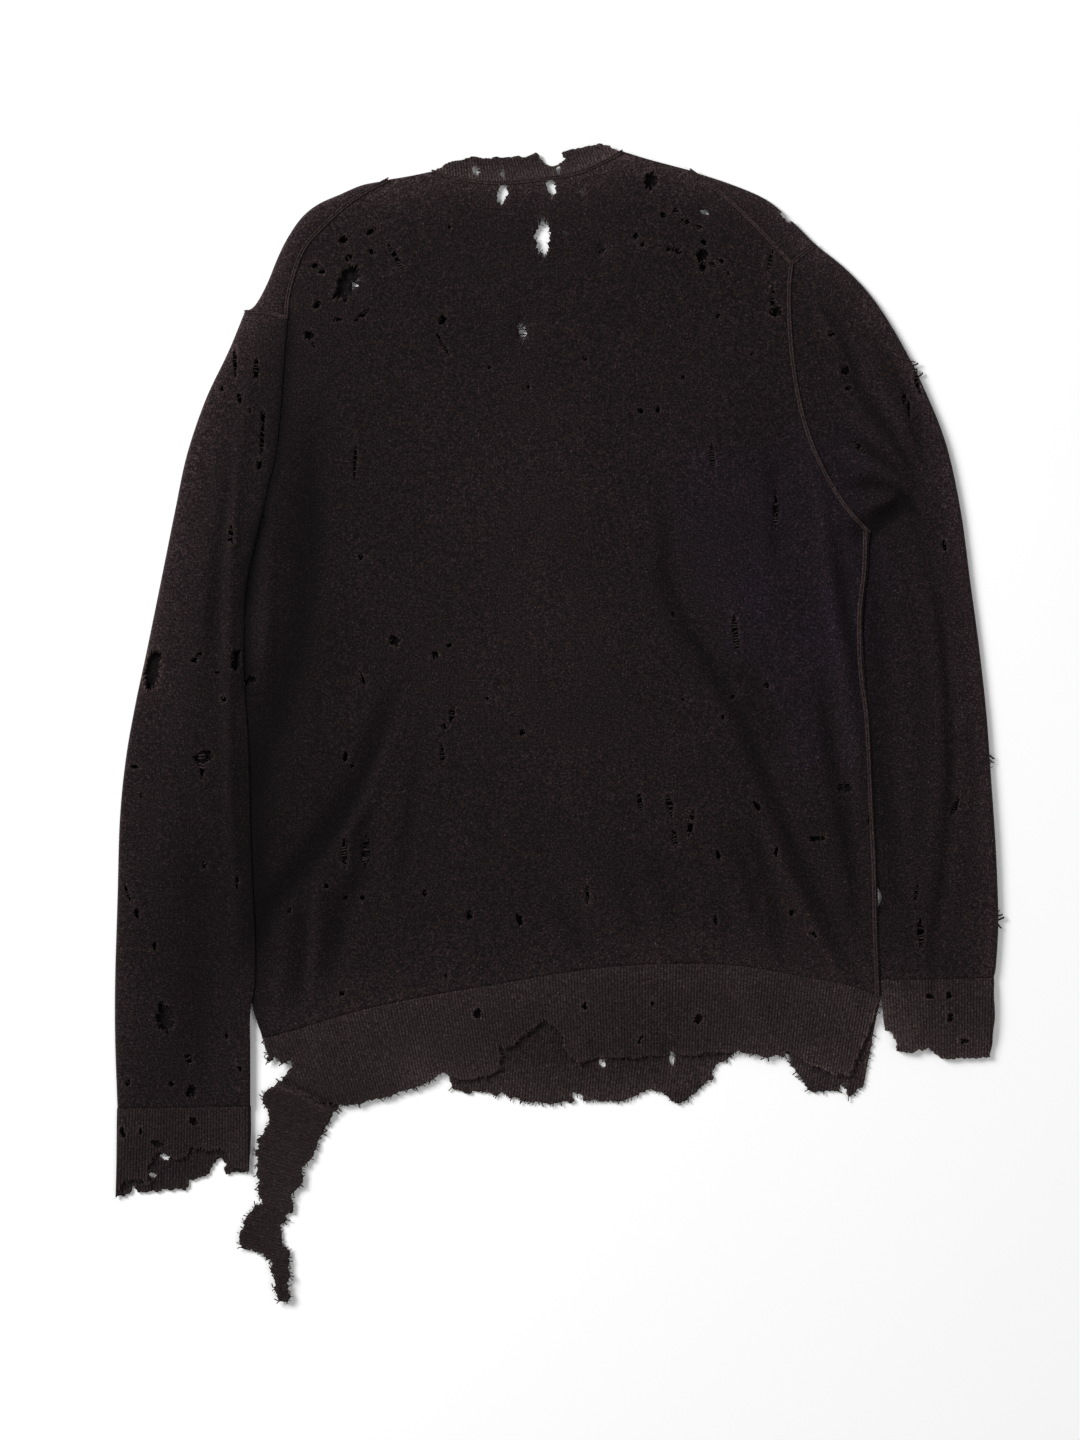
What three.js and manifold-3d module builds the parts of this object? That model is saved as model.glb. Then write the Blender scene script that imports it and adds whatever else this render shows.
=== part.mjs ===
// A torn fine-gauge wool sweater lying flat on its front, its back on top and its sleeves beside the body.
// Millimetres, +Z up, +Y towards the neck. The origin is under the middle of the whole outline, on the surface
// that the sweater lies on. Every piece of knitting is a wall of one thickness; a sleeve is a flat tube.
import * as THREE from 'three';
import { mergeVertices } from 'three/addons/utils/BufferGeometryUtils.js';
import Module from 'manifold-3d';

const wasm = await Module();
wasm.setup();

// Driving sizes
const WALL = 1.6; // one layer of knitting
const LAYER_GAP = 1.5; // air between the two layers of a flattened tube
const SEAM_GAP = 0.4; // between two pieces that are linked together
const REST_GAP = 0.3; // between a ridge and the cloth it lies on
const RIDGE_WIDTH = 3.6; // a linked seam standing proud
const RIDGE_HEIGHT = 1.2;
const GRID = 26; // spacing of the points that carry the folds
const CURVE_STEP = 22; // spacing of the points on smooth edges
const RUN_ON = 2.5; // how far a seam's gap runs on past its ends, so that no sliver is left
const SKY = 40; // higher than anything in the part
const UPPER = WALL + LAYER_GAP; // underside of the upper layer

// Colours of the yarn, slightly lighter where the knitting is ribbed or linked
const JERSEY_COLOUR = 0x221c1e;
const RIB_COLOUR = 0x2a2225;
const RIDGE_COLOUR = 0x3a2f31;

// Folds of the upper layer: lines that the cloth rises along (positive lift) or dips along (negative lift).
const FOLDS = [
  { lift: 3.0, reach: 10, line: [[258, 227], [284, 201], [301, 176], [307, 163]] }, // tuck under the right arm
  { lift: -1.2, reach: 8, line: [[294, 190], [269, 176], [258, 170]] },
  { lift: 1.6, reach: 12, line: [[277, 291], [303, 231]] }, // right upper arm
  { lift: 2.2, reach: 12, line: [[311, 214], [328, 146], [335, -24], [325, -168], [318, -275]] }, // pressed crease
  { lift: -1.1, reach: 16, line: [[103, 87], [145, 19], [178, -58], [218, -143], [256, -219]] }, // right body
  { lift: 1.8, reach: 16, line: [[135, 87], [180, 19], [210, -58], [244, -130]] },
  { lift: -1.2, reach: 10, line: [[-139, 19], [-173, -49], [-205, -113], [-229, -156]] }, // lower left body
  { lift: 2.6, reach: 12, line: [[-122, 10], [-152, -58], [-184, -120], [-204, -150]] },
  { lift: -1.0, reach: 14, line: [[-227, 206], [-224, 121], [-229, 36], [-252, -32]] }, // left body
  { lift: 1.6, reach: 16, line: [[-200, 206], [-198, 110], [-205, 20]] },
  { lift: 1.8, reach: 14, line: [[-262, 300], [-280, 190], [-300, 60], [-310, -60]] }, // left sleeve
  { lift: -1.0, reach: 12, line: [[-292, 172], [-285, 87]] },
];

const vector = ([x, y]) => new THREE.Vector2(x, y);
const torn = (points) => points.map(vector);
const reversed = (line) => [...line].reverse();

// A smooth line through a few points, at an even step.
function smooth(points) {
  const curve = new THREE.SplineCurve(points.map(vector));
  return curve.getSpacedPoints(Math.max(1, Math.round(curve.getLength() / CURVE_STEP)));
}

// Runs joined end to end into one closed outline, each shared point once.
function outlineOf(...runs) {
  const points = [];
  for (const point of runs.flat()) {
    if (!points.length || points.at(-1).distanceTo(point) > 0.2) points.push(point);
  }
  if (points[0].distanceTo(points.at(-1)) < 0.2) points.pop();
  return points;
}

// The line moved sideways, to the left of its own direction for a positive distance.
function offset(line, distance) {
  return line.map((point, i) => {
    const along = line[Math.min(i + 1, line.length - 1)].clone().sub(line[Math.max(i - 1, 0)]).normalize();
    return new THREE.Vector2(point.x - along.y * distance, point.y + along.x * distance);
  });
}

const band = (line, from, to) => [...offset(line, to), ...reversed(offset(line, from))];

// The line run on by a little past both of its ends.
function runOn(line, extra) {
  const past = (end, before) => end.clone().add(end.clone().sub(before).setLength(extra));
  return [past(line[0], line[1]), ...line, past(line.at(-1), line.at(-2))];
}

function distanceToLine(x, y, line) {
  let nearest = Infinity;
  for (let i = 1; i < line.length; i += 1) {
    const [ax, ay] = line[i - 1];
    const [bx, by] = line[i];
    const squared = (bx - ax) ** 2 + (by - ay) ** 2;
    const t = THREE.MathUtils.clamp(((x - ax) * (bx - ax) + (y - ay) * (by - ay)) / squared, 0, 1);
    nearest = Math.min(nearest, Math.hypot(x - ax - t * (bx - ax), y - ay - t * (by - ay)));
  }
  return nearest;
}

// Height of the top of the upper layer above the surface it lies on.
function upperTop(x, y) {
  let height = UPPER + WALL;
  for (const { lift, reach, line } of FOLDS) {
    height += lift * Math.exp(-((distanceToLine(x, y, line) / reach) ** 2));
  }
  return Math.max(height, UPPER + WALL - LAYER_GAP + REST_GAP);
}

// Solids from three.js geometry, ready for cutting and joining.
function solidOf(geometry) {
  geometry.deleteAttribute('normal');
  geometry.deleteAttribute('uv');
  const merged = mergeVertices(geometry, 1e-4);
  return new wasm.Manifold(new wasm.Mesh({
    numProp: 3,
    vertProperties: new Float32Array(merged.attributes.position.array),
    triVerts: new Uint32Array(merged.index.array),
  }));
}

// An outline raised from one level to another.
function prism(outline, low, high) {
  const geometry = new THREE.ExtrudeGeometry(new THREE.Shape(outline), { depth: high - low, bevelEnabled: false });
  return solidOf(geometry.translate(0, 0, low));
}

// A slab between two height rules over the grid squares that an outline covers. Every slab uses the same grid,
// so that slabs a constant height apart never touch.
function slab(outline, low, high) {
  const box = new THREE.Box2().setFromPoints(outline);
  const [i0, j0] = [Math.floor(box.min.x / GRID) - 1, Math.floor(box.min.y / GRID) - 1];
  const columns = Math.ceil(box.max.x / GRID) + 1 - i0;
  const rows = Math.ceil(box.max.y / GRID) + 1 - j0;
  const positions = [];
  for (const height of [low, high]) {
    for (let j = 0; j <= rows; j += 1) {
      for (let i = 0; i <= columns; i += 1) {
        const [x, y] = [(i0 + i) * GRID, (j0 + j) * GRID];
        positions.push(x, y, height(x, y));
      }
    }
  }
  const layer = (columns + 1) * (rows + 1);
  const at = (i, j, top) => top * layer + j * (columns + 1) + i;
  const faces = [];
  const quad = (a, b, c, d) => faces.push(a, b, c, a, c, d);
  for (let j = 0; j < rows; j += 1) {
    for (let i = 0; i < columns; i += 1) {
      quad(at(i, j, 1), at(i + 1, j, 1), at(i + 1, j + 1, 1), at(i, j + 1, 1));
      faces.push(at(i, j, 0), at(i + 1, j + 1, 0), at(i + 1, j, 0));
      faces.push(at(i, j, 0), at(i, j + 1, 0), at(i + 1, j + 1, 0));
    }
  }
  for (let i = 0; i < columns; i += 1) {
    quad(at(i, 0, 0), at(i + 1, 0, 0), at(i + 1, 0, 1), at(i, 0, 1));
    quad(at(i + 1, rows, 0), at(i, rows, 0), at(i, rows, 1), at(i + 1, rows, 1));
  }
  for (let j = 0; j < rows; j += 1) {
    quad(at(0, j + 1, 0), at(0, j, 0), at(0, j, 1), at(0, j + 1, 1));
    quad(at(columns, j, 0), at(columns, j + 1, 0), at(columns, j + 1, 1), at(columns, j, 1));
  }
  const geometry = new THREE.BufferGeometry();
  geometry.setAttribute('position', new THREE.Float32BufferAttribute(positions, 3));
  geometry.setIndex(faces);
  return solidOf(geometry);
}

const cloth = (outline, low, high) => slab(outline, low, high).intersect(prism(outline, -1, SKY));
const upperLayer = (outline) => cloth(outline, (x, y) => upperTop(x, y) - WALL, upperTop);
const lowerLayer = (outline) => prism(outline, 0, WALL);
const standingWall = (outline, low) => cloth(outline, () => low, upperTop);
const seamCut = (line) => prism(band(runOn(line, RUN_ON), -SEAM_GAP / 2, SEAM_GAP / 2), -1, SKY);

function hole(x, y, radiusX, radiusY, low = UPPER - LAYER_GAP / 2) {
  const ring = new THREE.EllipseCurve(x, y, radiusX, radiusY).getPoints(10).slice(0, -1);
  return prism(ring, low, SKY);
}

// The solid less its cutters. A cut can leave a crumb at a corner, so only the largest body is kept.
function cutAll(solid, cutters) {
  const rest = cutters.reduce((left, cutter) => left.subtract(cutter), solid);
  return rest.decompose().reduce((largest, body) => (body.volume() > largest.volume() ? body : largest));
}

// A flattened tube between two folded edges. side is 1 where the cloth lies to the left of the outer edge's
// direction, and -1 where it lies to the right.
function flatTube({ outer, inner, start, end, mouth, side }) {
  const outline = outlineOf(outer, end, reversed(inner), reversed(start));
  const beyond = 4;
  const hollow = outlineOf(
    offset(outer, side * WALL),
    mouth ?? offset(end, -side * beyond),
    reversed(offset(inner, -side * WALL)),
    reversed(offset(start, side * beyond)),
  );
  const space = cloth(hollow, () => WALL, (x, y) => upperTop(x, y) - WALL);
  return standingWall(outline, 0).subtract(space);
}

// A linked seam: a ridge lying along a line, on the cloth of both pieces.
function ridge(line) {
  const outline = outlineOf(band(line, -RIDGE_WIDTH / 2, RIDGE_WIDTH / 2));
  const lift = (extra) => (x, y) => upperTop(x, y) + extra;
  return cloth(outline, lift(REST_GAP), lift(REST_GAP + RIDGE_HEIGHT));
}

// Seam lines and edges
const backNeck = smooth([[-108, 467], [-84, 461], [-50, 458], [-16, 461], [14, 466], [35, 474], [54, 484]]);
const frontNeck = smooth([[54, 484], [48, 428], [33, 391], [9, 367], [-20, 361], [-50, 369], [-77, 394], [-97, 431],
  [-108, 467]]);
const rightShoulderTop = smooth([[54, 484], [77, 477], [111, 468]]);
const rightShoulderFold = smooth([[111, 468], [145, 457], [175, 444], [196, 427], [218, 405]]);
const rightShoulderSeam = smooth([[111, 468], [133, 452], [154, 434], [175, 413], [197, 389]]);
const rightArmholeTop = smooth([[218, 405], [207, 397], [197, 389]]);
const rightArmhole = smooth([[197, 389], [195, 367], [196, 329], [201, 286], [210, 248], [224, 214], [243, 183],
  [263, 161]]);
const rightSide = smooth([[263, 161], [262, 129], [258, 91], [259, 44], [264, 2], [267, -66], [270, -126],
  [271, -173], [273, -232]]);
const hemLine = smooth([[273, -232], [239, -222], [196, -214], [154, -207], [103, -205], [52, -207], [1, -213],
  [-50, -222], [-93, -229], [-135, -237], [-178, -247], [-220, -260], [-252, -268]]);
const leftSide = smooth([[-252, -268], [-261, -236], [-262, -185], [-265, -109], [-267, -15], [-269, 53],
  [-268, 99], [-262, 122], [-252, 150]]);
const leftArmhole = smooth([[-252, 150], [-248, 189], [-243, 227], [-239, 265], [-235, 308], [-232, 343]]);
const leftArmholeTop = smooth([[-232, 343], [-246, 347], [-267, 348]]);
const leftShoulderSeam = smooth([[-232, 343], [-229, 367], [-218, 399], [-201, 420], [-180, 439], [-162, 451],
  [-145, 460]]);
const leftShoulderFold = smooth([[-267, 348], [-256, 354], [-241, 379], [-226, 410], [-207, 434], [-186, 446],
  [-167, 456], [-145, 460]]);
const leftShoulderTop = smooth([[-145, 460], [-127, 463], [-108, 467]]);

// Body
const SIDE_LIP = WALL + REST_GAP; // where the back's edge comes down to the front's
const backOutline = outlineOf(backNeck, rightShoulderTop, rightShoulderSeam, rightArmhole, rightSide, hemLine,
  leftSide, leftArmhole, leftShoulderSeam, leftShoulderTop);

function backPanel() {
  const lips = [rightSide, leftSide].map((edge) => standingWall(outlineOf(band(edge, -WALL, 0)), SIDE_LIP));
  const seams = [backNeck, rightShoulderSeam, rightArmhole, hemLine, leftArmhole, leftShoulderSeam].map(seamCut);
  const holes = [
    hole(-48, 449, 4.7, 8), hole(-7, 455, 4.2, 7), hole(-14, 411, 5, 18), hole(78, 459, 4, 8),
    hole(121, 396, 5, 5.5), hole(-182, 372, 9, 12), hole(-140, 69, 3.5, 4.5), hole(243, -56, 4, 4),
  ];
  const panel = lips.reduce((whole, lip) => whole.add(lip), upperLayer(backOutline));
  return cutAll(panel, [...seams, ...holes]);
}

// The front lies underneath. Past each shoulder fold it comes up and over to the seam on the back.
function frontPanel() {
  const outline = outlineOf(frontNeck.toReversed(), rightShoulderTop, rightShoulderFold, rightArmholeTop,
    rightArmhole, rightSide, hemLine, leftSide, leftArmhole, leftArmholeTop, leftShoulderFold, leftShoulderTop);
  const rightFlap = outlineOf(rightShoulderFold, rightArmholeTop, reversed(rightShoulderSeam));
  const leftFlap = outlineOf(leftShoulderSeam, reversed(leftShoulderFold), reversed(leftArmholeTop));
  const folds = [rightShoulderFold, leftShoulderFold].map((fold) => standingWall(outlineOf(band(fold, -WALL, 0)), 0));
  const seams = [frontNeck, rightArmholeTop, rightArmhole, hemLine, leftArmhole, leftArmholeTop,
    rightShoulderSeam, leftShoulderSeam].map(seamCut);
  const lower = cutAll(lowerLayer(outline), seams.slice(0, 6));
  const upper = [...[rightFlap, leftFlap].map(upperLayer), ...folds].reduce((whole, part) => whole.add(part));
  const cutUpper = seams.reduce((left, cutter) => left.subtract(cutter), upper)
    .subtract(prism(backOutline, SIDE_LIP - REST_GAP, SKY));
  return cutAll(lower.add(cutUpper), []);
}

// Hem
const backHemEdge = torn([[-252, -268], [-246, -287], [-240, -285], [-235, -289], [-223, -285], [-226, -294],
  [-235, -303], [-220, -314], [-201, -322], [-182, -327], [-162, -322], [-142, -317], [-118, -309], [-98, -298],
  [-84, -304], [-69, -302], [-55, -299], [-49, -287], [-51, -276], [-37, -273], [-27, -263], [-12, -253],
  [-3, -258], [3, -269], [6, -281], [15, -289], [35, -286], [69, -284], [111, -283], [139, -281], [150, -279],
  [178, -285], [196, -281], [210, -289], [229, -297], [247, -302], [252, -286], [263, -262], [273, -232]]);
const frontHemEdge = torn([[-97, -234], [-91, -270], [-95, -303], [-91, -311], [-69, -315], [-48, -317],
  [-31, -321], [-12, -325], [11, -322], [12, -315], [18, -314], [21, -322], [52, -322], [77, -312], [88, -315],
  [96, -323], [108, -322], [118, -314], [129, -303], [132, -293], [142, -286], [156, -275], [190, -275],
  [198, -291], [205, -302], [214, -314], [237, -313], [252, -316], [258, -310], [262, -287], [268, -260],
  [273, -232]]);

function backHemRib() {
  const outline = outlineOf(reversed(hemLine), reversed(backHemEdge));
  return upperLayer(outline).subtract(seamCut(hemLine));
}

function frontHemRib() {
  const line = hemLine.filter((point) => point.x > -95);
  const outline = outlineOf(reversed(line), reversed(frontHemEdge));
  return lowerLayer(outline).subtract(seamCut(hemLine));
}

// The stretch of front hem rib that has come away and hangs below the hem, turned so that its ribs run across.
function tornHemStrip() {
  return lowerLayer(torn([[-218, -268], [-220, -287], [-235, -304], [-247, -311], [-252, -320], [-246, -332],
    [-247, -343], [-256, -355], [-257, -372], [-254, -403], [-252, -409], [-258, -410], [-266, -422], [-270, -434],
    [-271, -447], [-263, -449], [-251, -452], [-244, -458], [-242, -474], [-239, -492], [-230, -492], [-230, -449],
    [-235, -443], [-236, -428], [-226, -415], [-227, -403], [-219, -391], [-218, -379], [-209, -370], [-205, -358],
    [-198, -344], [-191, -332], [-178, -321], [-167, -287], [-167, -258]]));
}

// Sleeves: outer is the folded edge away from the body, inner the one beside it, both from shoulder to cuff.
const leftOuter = smooth([[-267, 348], [-281, 314], [-300, 274], [-316, 227], [-326, 180], [-337, 125], [-350, 61],
  [-360, 14], [-368, -32], [-373, -83], [-375, -151], [-377, -219], [-377, -270], [-375, -328]]);
const leftInner = smooth([[-232, 343], [-236, 308], [-240, 265], [-244, 227], [-251, 193], [-258, 159], [-271, 104],
  [-271, 53], [-269, -15], [-267, -109], [-264, -185], [-263, -236], [-259, -279], [-262, -326]]);
const rightOuter = smooth([[218, 405], [243, 385], [267, 359], [290, 323], [311, 281], [329, 235], [341, 180],
  [349, 121], [357, 61], [363, 6], [367, -49], [371, -109], [373, -168], [371, -207], [369, -217]]);
const rightInner = smooth([[263, 161], [265, 104], [266, 19], [269, -66], [275, -134], [278, -177], [279, -219]]);
const leftCuffLine = torn([[-375, -328], [-262, -326]]);
const rightCuffLine = torn([[369, -217], [279, -219]]);

function leftSleeve() {
  const start = reversed(leftArmholeTop);
  const tube = flatTube({ outer: leftOuter, inner: leftInner, start, end: leftCuffLine, side: 1 });
  return cutAll(tube, [
    seamCut(leftArmholeTop), seamCut(leftCuffLine), seamCut(leftArmhole),
    hole(-345, 44, 7, 15), hole(-302, -30, 8.5, 11), hole(-335, -252, 8.5, 11.5),
  ]);
}

function rightSleeve() {
  const start = outlineOf(rightArmholeTop, rightArmhole);
  const tube = flatTube({ outer: rightOuter, inner: rightInner, start, end: rightCuffLine, side: -1 });
  return cutAll(tube, [seamCut(rightArmholeTop), seamCut(rightArmhole), seamCut(rightCuffLine)]);
}

function leftCuffRib() {
  const outer = torn([[-375, -328], [-377, -404]]);
  const inner = torn([[-262, -326], [-263, -382]]);
  const end = torn([[-377, -404], [-366, -400], [-361, -393], [-358, -399], [-348, -399], [-317, -397], [-314, -389],
    [-303, -388], [-296, -382], [-294, -375], [-287, -371], [-281, -375], [-283, -383], [-263, -382]]);
  const mouth = torn([[-375.4, -412], [-264.6, -412]]);
  const tube = flatTube({ outer, inner, start: leftCuffLine, end, mouth, side: 1 });
  return tube.subtract(seamCut(leftCuffLine));
}

function rightCuffRib() {
  const outer = torn([[369, -217], [370, -252], [366, -284]]);
  const inner = torn([[279, -219], [275, -239], [277, -262]]);
  const end = torn([[366, -284], [343, -286], [323, -286], [314, -275], [301, -281], [288, -279], [284, -264],
    [277, -262]]);
  const mouth = torn([[364.4, -294], [278.6, -294]]);
  const tube = flatTube({ outer, inner, start: rightCuffLine, end, mouth, side: -1 });
  return tube.subtract(seamCut(rightCuffLine));
}

// Neckband: one ring of rib, its back stretch on top and its deeper front stretch underneath.
function neckbandRib() {
  const backTop = torn([[54, 484], [33, 491], [18, 487], [3, 485], [6, 479], [-1, 473], [-8, 472], [-14, 475],
    [-19, 484], [-29, 480], [-50, 479], [-74, 479], [-91, 476], [-105, 475]]);
  const frontTop = smooth([[-91, 468], [-82, 437], [-65, 405], [-45, 388], [-20, 382], [3, 387], [21, 405],
    [33, 437], [38, 478]]);
  const leftEnd = torn([[-105.5, 473], [-91, 474]]);
  const rightEnd = torn([[37, 486], [51, 485]]);
  const back = upperLayer(outlineOf(backNeck, backTop)).subtract(seamCut(backNeck));
  const front = lowerLayer(outlineOf(frontNeck, leftEnd, frontTop, rightEnd)).subtract(seamCut(frontNeck));
  const ends = [torn([[-106.5, 470], [-105, 475], [-91, 476], [-92, 466]]), torn([[38, 478], [36, 489], [53, 484.4]])];
  return ends.map((end) => standingWall(end, 0)).reduce((whole, end) => whole.add(end), back.add(front));
}

// Each node: its name, its solid and its colour
const pieces = [
  ['back_panel', backPanel(), JERSEY_COLOUR],
  ['front_panel', frontPanel(), JERSEY_COLOUR],
  ['back_hem_rib', backHemRib(), RIB_COLOUR],
  ['front_hem_rib', frontHemRib(), RIB_COLOUR],
  ['torn_hem_strip', tornHemStrip(), RIB_COLOUR],
  ['left_sleeve', leftSleeve(), JERSEY_COLOUR],
  ['right_sleeve', rightSleeve(), JERSEY_COLOUR],
  ['left_cuff_rib', leftCuffRib(), RIB_COLOUR],
  ['right_cuff_rib', rightCuffRib(), RIB_COLOUR],
  ['neckband_rib', neckbandRib(), RIB_COLOUR],
  ['neck_seam', ridge(backNeck), RIDGE_COLOUR],
  ['left_shoulder_seam', ridge(leftShoulderSeam), RIDGE_COLOUR],
  ['right_shoulder_seam', ridge(rightShoulderSeam), RIDGE_COLOUR],
  ['left_armhole_seam', ridge(leftArmholeTop.slice(1)), RIDGE_COLOUR],
  ['right_armhole_seam', ridge(rightArmhole.slice(1)), RIDGE_COLOUR],
  ['right_side_seam', ridge(offset(rightSide.slice(1), -3)), RIDGE_COLOUR],
];

function meshOf([name, solid, color]) {
  const { vertProperties, triVerts } = solid.getMesh();
  const geometry = new THREE.BufferGeometry();
  geometry.setAttribute('position', new THREE.BufferAttribute(new Float32Array(vertProperties), 3));
  geometry.setIndex(new THREE.BufferAttribute(new Uint32Array(triVerts), 1));
  const mesh = new THREE.Mesh(geometry, new THREE.MeshStandardMaterial({ color, roughness: 0.95, metalness: 0 }));
  mesh.name = name;
  return mesh;
}

const group = new THREE.Group();
group.add(...pieces.map(meshOf));

export default group;
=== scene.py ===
# %% [markdown]
# # A torn wool sweater, lying flat on its front
#
# The real thing is a fine-gauge black-brown crew-neck: plain jersey for the body and sleeves, one-by-one rib
# for the hem, cuffs and neckband, and linked seams that stand proud on the outside. It has been worn to
# pieces, so most of this lesson is about cloth with real holes in it: how to cut a sheet along a ragged
# outline, give it the height of a soft pile of two layers, and let yarn ends hang from every torn edge.
#
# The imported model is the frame. It fixes where each piece is and how large, and the pieces made here stand
# in for its plain solids.

# %% Load the frame
import math

import bmesh
import bpy
import numpy as np
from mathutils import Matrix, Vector, geometry, kdtree


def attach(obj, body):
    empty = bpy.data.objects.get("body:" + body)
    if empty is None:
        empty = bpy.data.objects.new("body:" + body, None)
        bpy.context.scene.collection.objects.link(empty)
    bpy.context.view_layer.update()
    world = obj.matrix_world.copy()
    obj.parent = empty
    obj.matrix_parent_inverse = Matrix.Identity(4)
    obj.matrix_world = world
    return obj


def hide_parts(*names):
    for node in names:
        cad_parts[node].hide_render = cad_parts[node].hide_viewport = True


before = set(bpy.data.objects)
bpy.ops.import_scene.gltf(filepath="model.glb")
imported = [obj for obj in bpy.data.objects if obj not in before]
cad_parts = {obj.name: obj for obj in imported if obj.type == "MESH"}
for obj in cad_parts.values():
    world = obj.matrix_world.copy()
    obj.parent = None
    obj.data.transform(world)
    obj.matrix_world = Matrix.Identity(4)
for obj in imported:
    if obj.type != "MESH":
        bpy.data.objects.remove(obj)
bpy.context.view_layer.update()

# %% [markdown]
# ## Sizes
#
# Everything below is in millimetres until a mesh is made. The garment lies in two layers: the front
# underneath, flat on the surface, and the back on top of it with some air between, which is what makes a
# small hole in the back look black. Along a fold the two layers curl round and meet half way up.

# %% Sizes of the cloth
MM = 0.001
WALL = 1.3  # one layer of knitting
REST = 0.7  # outer face of the lower layer, just off the surface
UPPER = 6.4  # outer face of the upper layer where it lies flat
MEET = 3.0  # height at which two layers meet along a fold
ROLL = 5.0  # how far in from a fold the cloth still curves
OVER = 5.7  # height of a fold that lies on top of its neighbour
UNDER = 3.4  # of an edge that another one covers
BESIDE = 4.6  # of the cloth just beside an edge that lies on it
CELL = 4.6  # spacing of the points inside a jersey panel
TORN_STEP = 1.5  # spacing of the points along a torn edge, about one stitch
RIB_PITCH = 2.5  # one rib and its groove
RIB_STEPS = 4  # columns of points to a rib
# Painted shade in a rib's groove, and a paler crest that is partly wear and partly painted highlight
RIB_CONTRAST = 0.24  # how much paler a rib's crest is rubbed, and how much darker its groove stays
RIB_HEIGHT = 0.85  # from a groove to a crest
ROW = 2.1  # spacing of the points down a rib
FAR = 1e9  # stands for the distance to nothing
print("air between the layers:", round(UPPER - REST - 2 * WALL, 1), "mm")

# %% [markdown]
# ## Lines
#
# A maker draws a garment as a few curves. Here each seam or fold is a smooth line through a handful of
# points, and a torn edge is straight runs broken up into steps about one stitch long. The points are the
# same as the solids', and the print at the end of each piece gives its box.

# %% Drawing lines
def measured(line):
    """Length along a line at each of its points."""
    return np.concatenate([[0.0], np.cumsum(np.linalg.norm(np.diff(line, axis=0), axis=1))])


def even(line, count):
    """The line as count equal steps."""
    along = measured(line)
    places = np.linspace(0, along[-1], count + 1)
    return np.column_stack([np.interp(places, along, line[:, i]) for i in range(line.shape[1])])


def stepped(line, step):
    return even(line, max(2, round(measured(line)[-1] / step)))


def smooth(*pairs, step=3.5):
    """A Catmull-Rom line through a few points, at an even step."""
    p = np.array(pairs, float)
    p = np.vstack([2 * p[0] - p[1], p, 2 * p[-1] - p[-2]])
    t = np.linspace(0, 1, 12, endpoint=False)[:, None]
    runs = [
        0.5 * (2 * b + (c - a) * t + (2 * a - 5 * b + 4 * c - d) * t**2 + (3 * b - a - 3 * c + d) * t**3)
        for a, b, c, d in zip(p, p[1:], p[2:], p[3:])
    ]
    return stepped(np.vstack([*runs, p[-2:-1]]), step)


def sideways(line):
    """Unit vectors to the left of the line's direction."""
    ahead = np.gradient(line, axis=0)
    ahead /= np.linalg.norm(ahead, axis=1)[:, None] + 1e-9
    return np.column_stack([-ahead[:, 1], ahead[:, 0]])


def shifted(line, distance):
    return line + sideways(line) * distance


def torn(*pairs, seed=1, depth=0.75):
    """Straight runs between points, broken into stitch-long steps that wander from side to side."""
    random = np.random.default_rng(seed)
    line = stepped(np.array(pairs, float), TORN_STEP)
    each = random.normal(0, depth, len(line))
    every_fourth = random.normal(0, depth, len(line) // 4 + 1)
    wander = 0.6 * each + np.repeat(every_fourth, 4)[: len(line)]
    wander[[0, -1]] = 0
    return line + sideways(line) * wander[:, None]


def ring_area(ring):
    """The area in a ring, positive where it turns anticlockwise."""
    x, y = ring.T
    return 0.5 * np.sum(x * np.roll(y, -1) - np.roll(x, -1) * y)


SAME = 0.15  # mm; where one run ends and the next begins, points closer than this are one


def closed(*lines):
    """Runs joined end to end into one closed outline, turning anticlockwise."""
    points = np.vstack(lines)
    points = points[np.linalg.norm(points - np.roll(points, 1, axis=0), axis=1) > SAME]
    return points if ring_area(points) > 0 else points[::-1]


print("a smooth line of 100 mm has", len(smooth((0, 0), (100, 0))), "points")

# %% [markdown]
# ## The lines of this sweater
#
# Lying on its front, its back up: the neck at +Y, the sweater's own right sleeve at +X. The shoulder seams
# are set towards the back, so a wedge of the front shows beyond each of them.

# %% Seams, folds and edges
back_neck = smooth((-108, 467), (-84, 461), (-50, 458), (-16, 461), (14, 466), (35, 474), (54, 484))
front_neck = smooth((54, 484), (48, 428), (33, 391), (9, 367), (-20, 361), (-50, 369), (-77, 394),
                    (-97, 431), (-108, 467))
right_shoulder_top = smooth((54, 484), (77, 477), (111, 468))
right_shoulder_fold = smooth((111, 468), (145, 457), (175, 444), (196, 427), (218, 405))
right_shoulder_seam = smooth((111, 468), (133, 452), (154, 434), (175, 413), (197, 389))
right_armhole_top = smooth((218, 405), (207, 397), (197, 389))
right_armhole = smooth((197, 389), (195, 367), (196, 329), (201, 286), (210, 248), (224, 214), (243, 183),
                       (263, 161))
right_side = smooth((263, 161), (262, 129), (258, 91), (259, 44), (264, 2), (267, -66), (270, -126),
                    (271, -173), (273, -232))
hem_line = smooth((273, -232), (239, -222), (196, -214), (154, -207), (103, -205), (52, -207), (1, -213),
                  (-50, -222), (-93, -229), (-135, -237), (-178, -247), (-220, -260), (-252, -268))
left_side = smooth((-252, -268), (-261, -236), (-262, -185), (-266, -109), (-270, -15), (-273, 53),
                   (-273, 99), (-268, 128), (-259, 158))
left_armhole = smooth((-259, 158), (-254, 189), (-247, 227), (-242, 265), (-237, 308), (-232, 343))
left_armhole_top = smooth((-232, 343), (-246, 347), (-267, 348))
left_shoulder_seam = smooth((-232, 343), (-229, 367), (-218, 399), (-201, 420), (-180, 439), (-162, 451),
                            (-145, 460))
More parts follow.
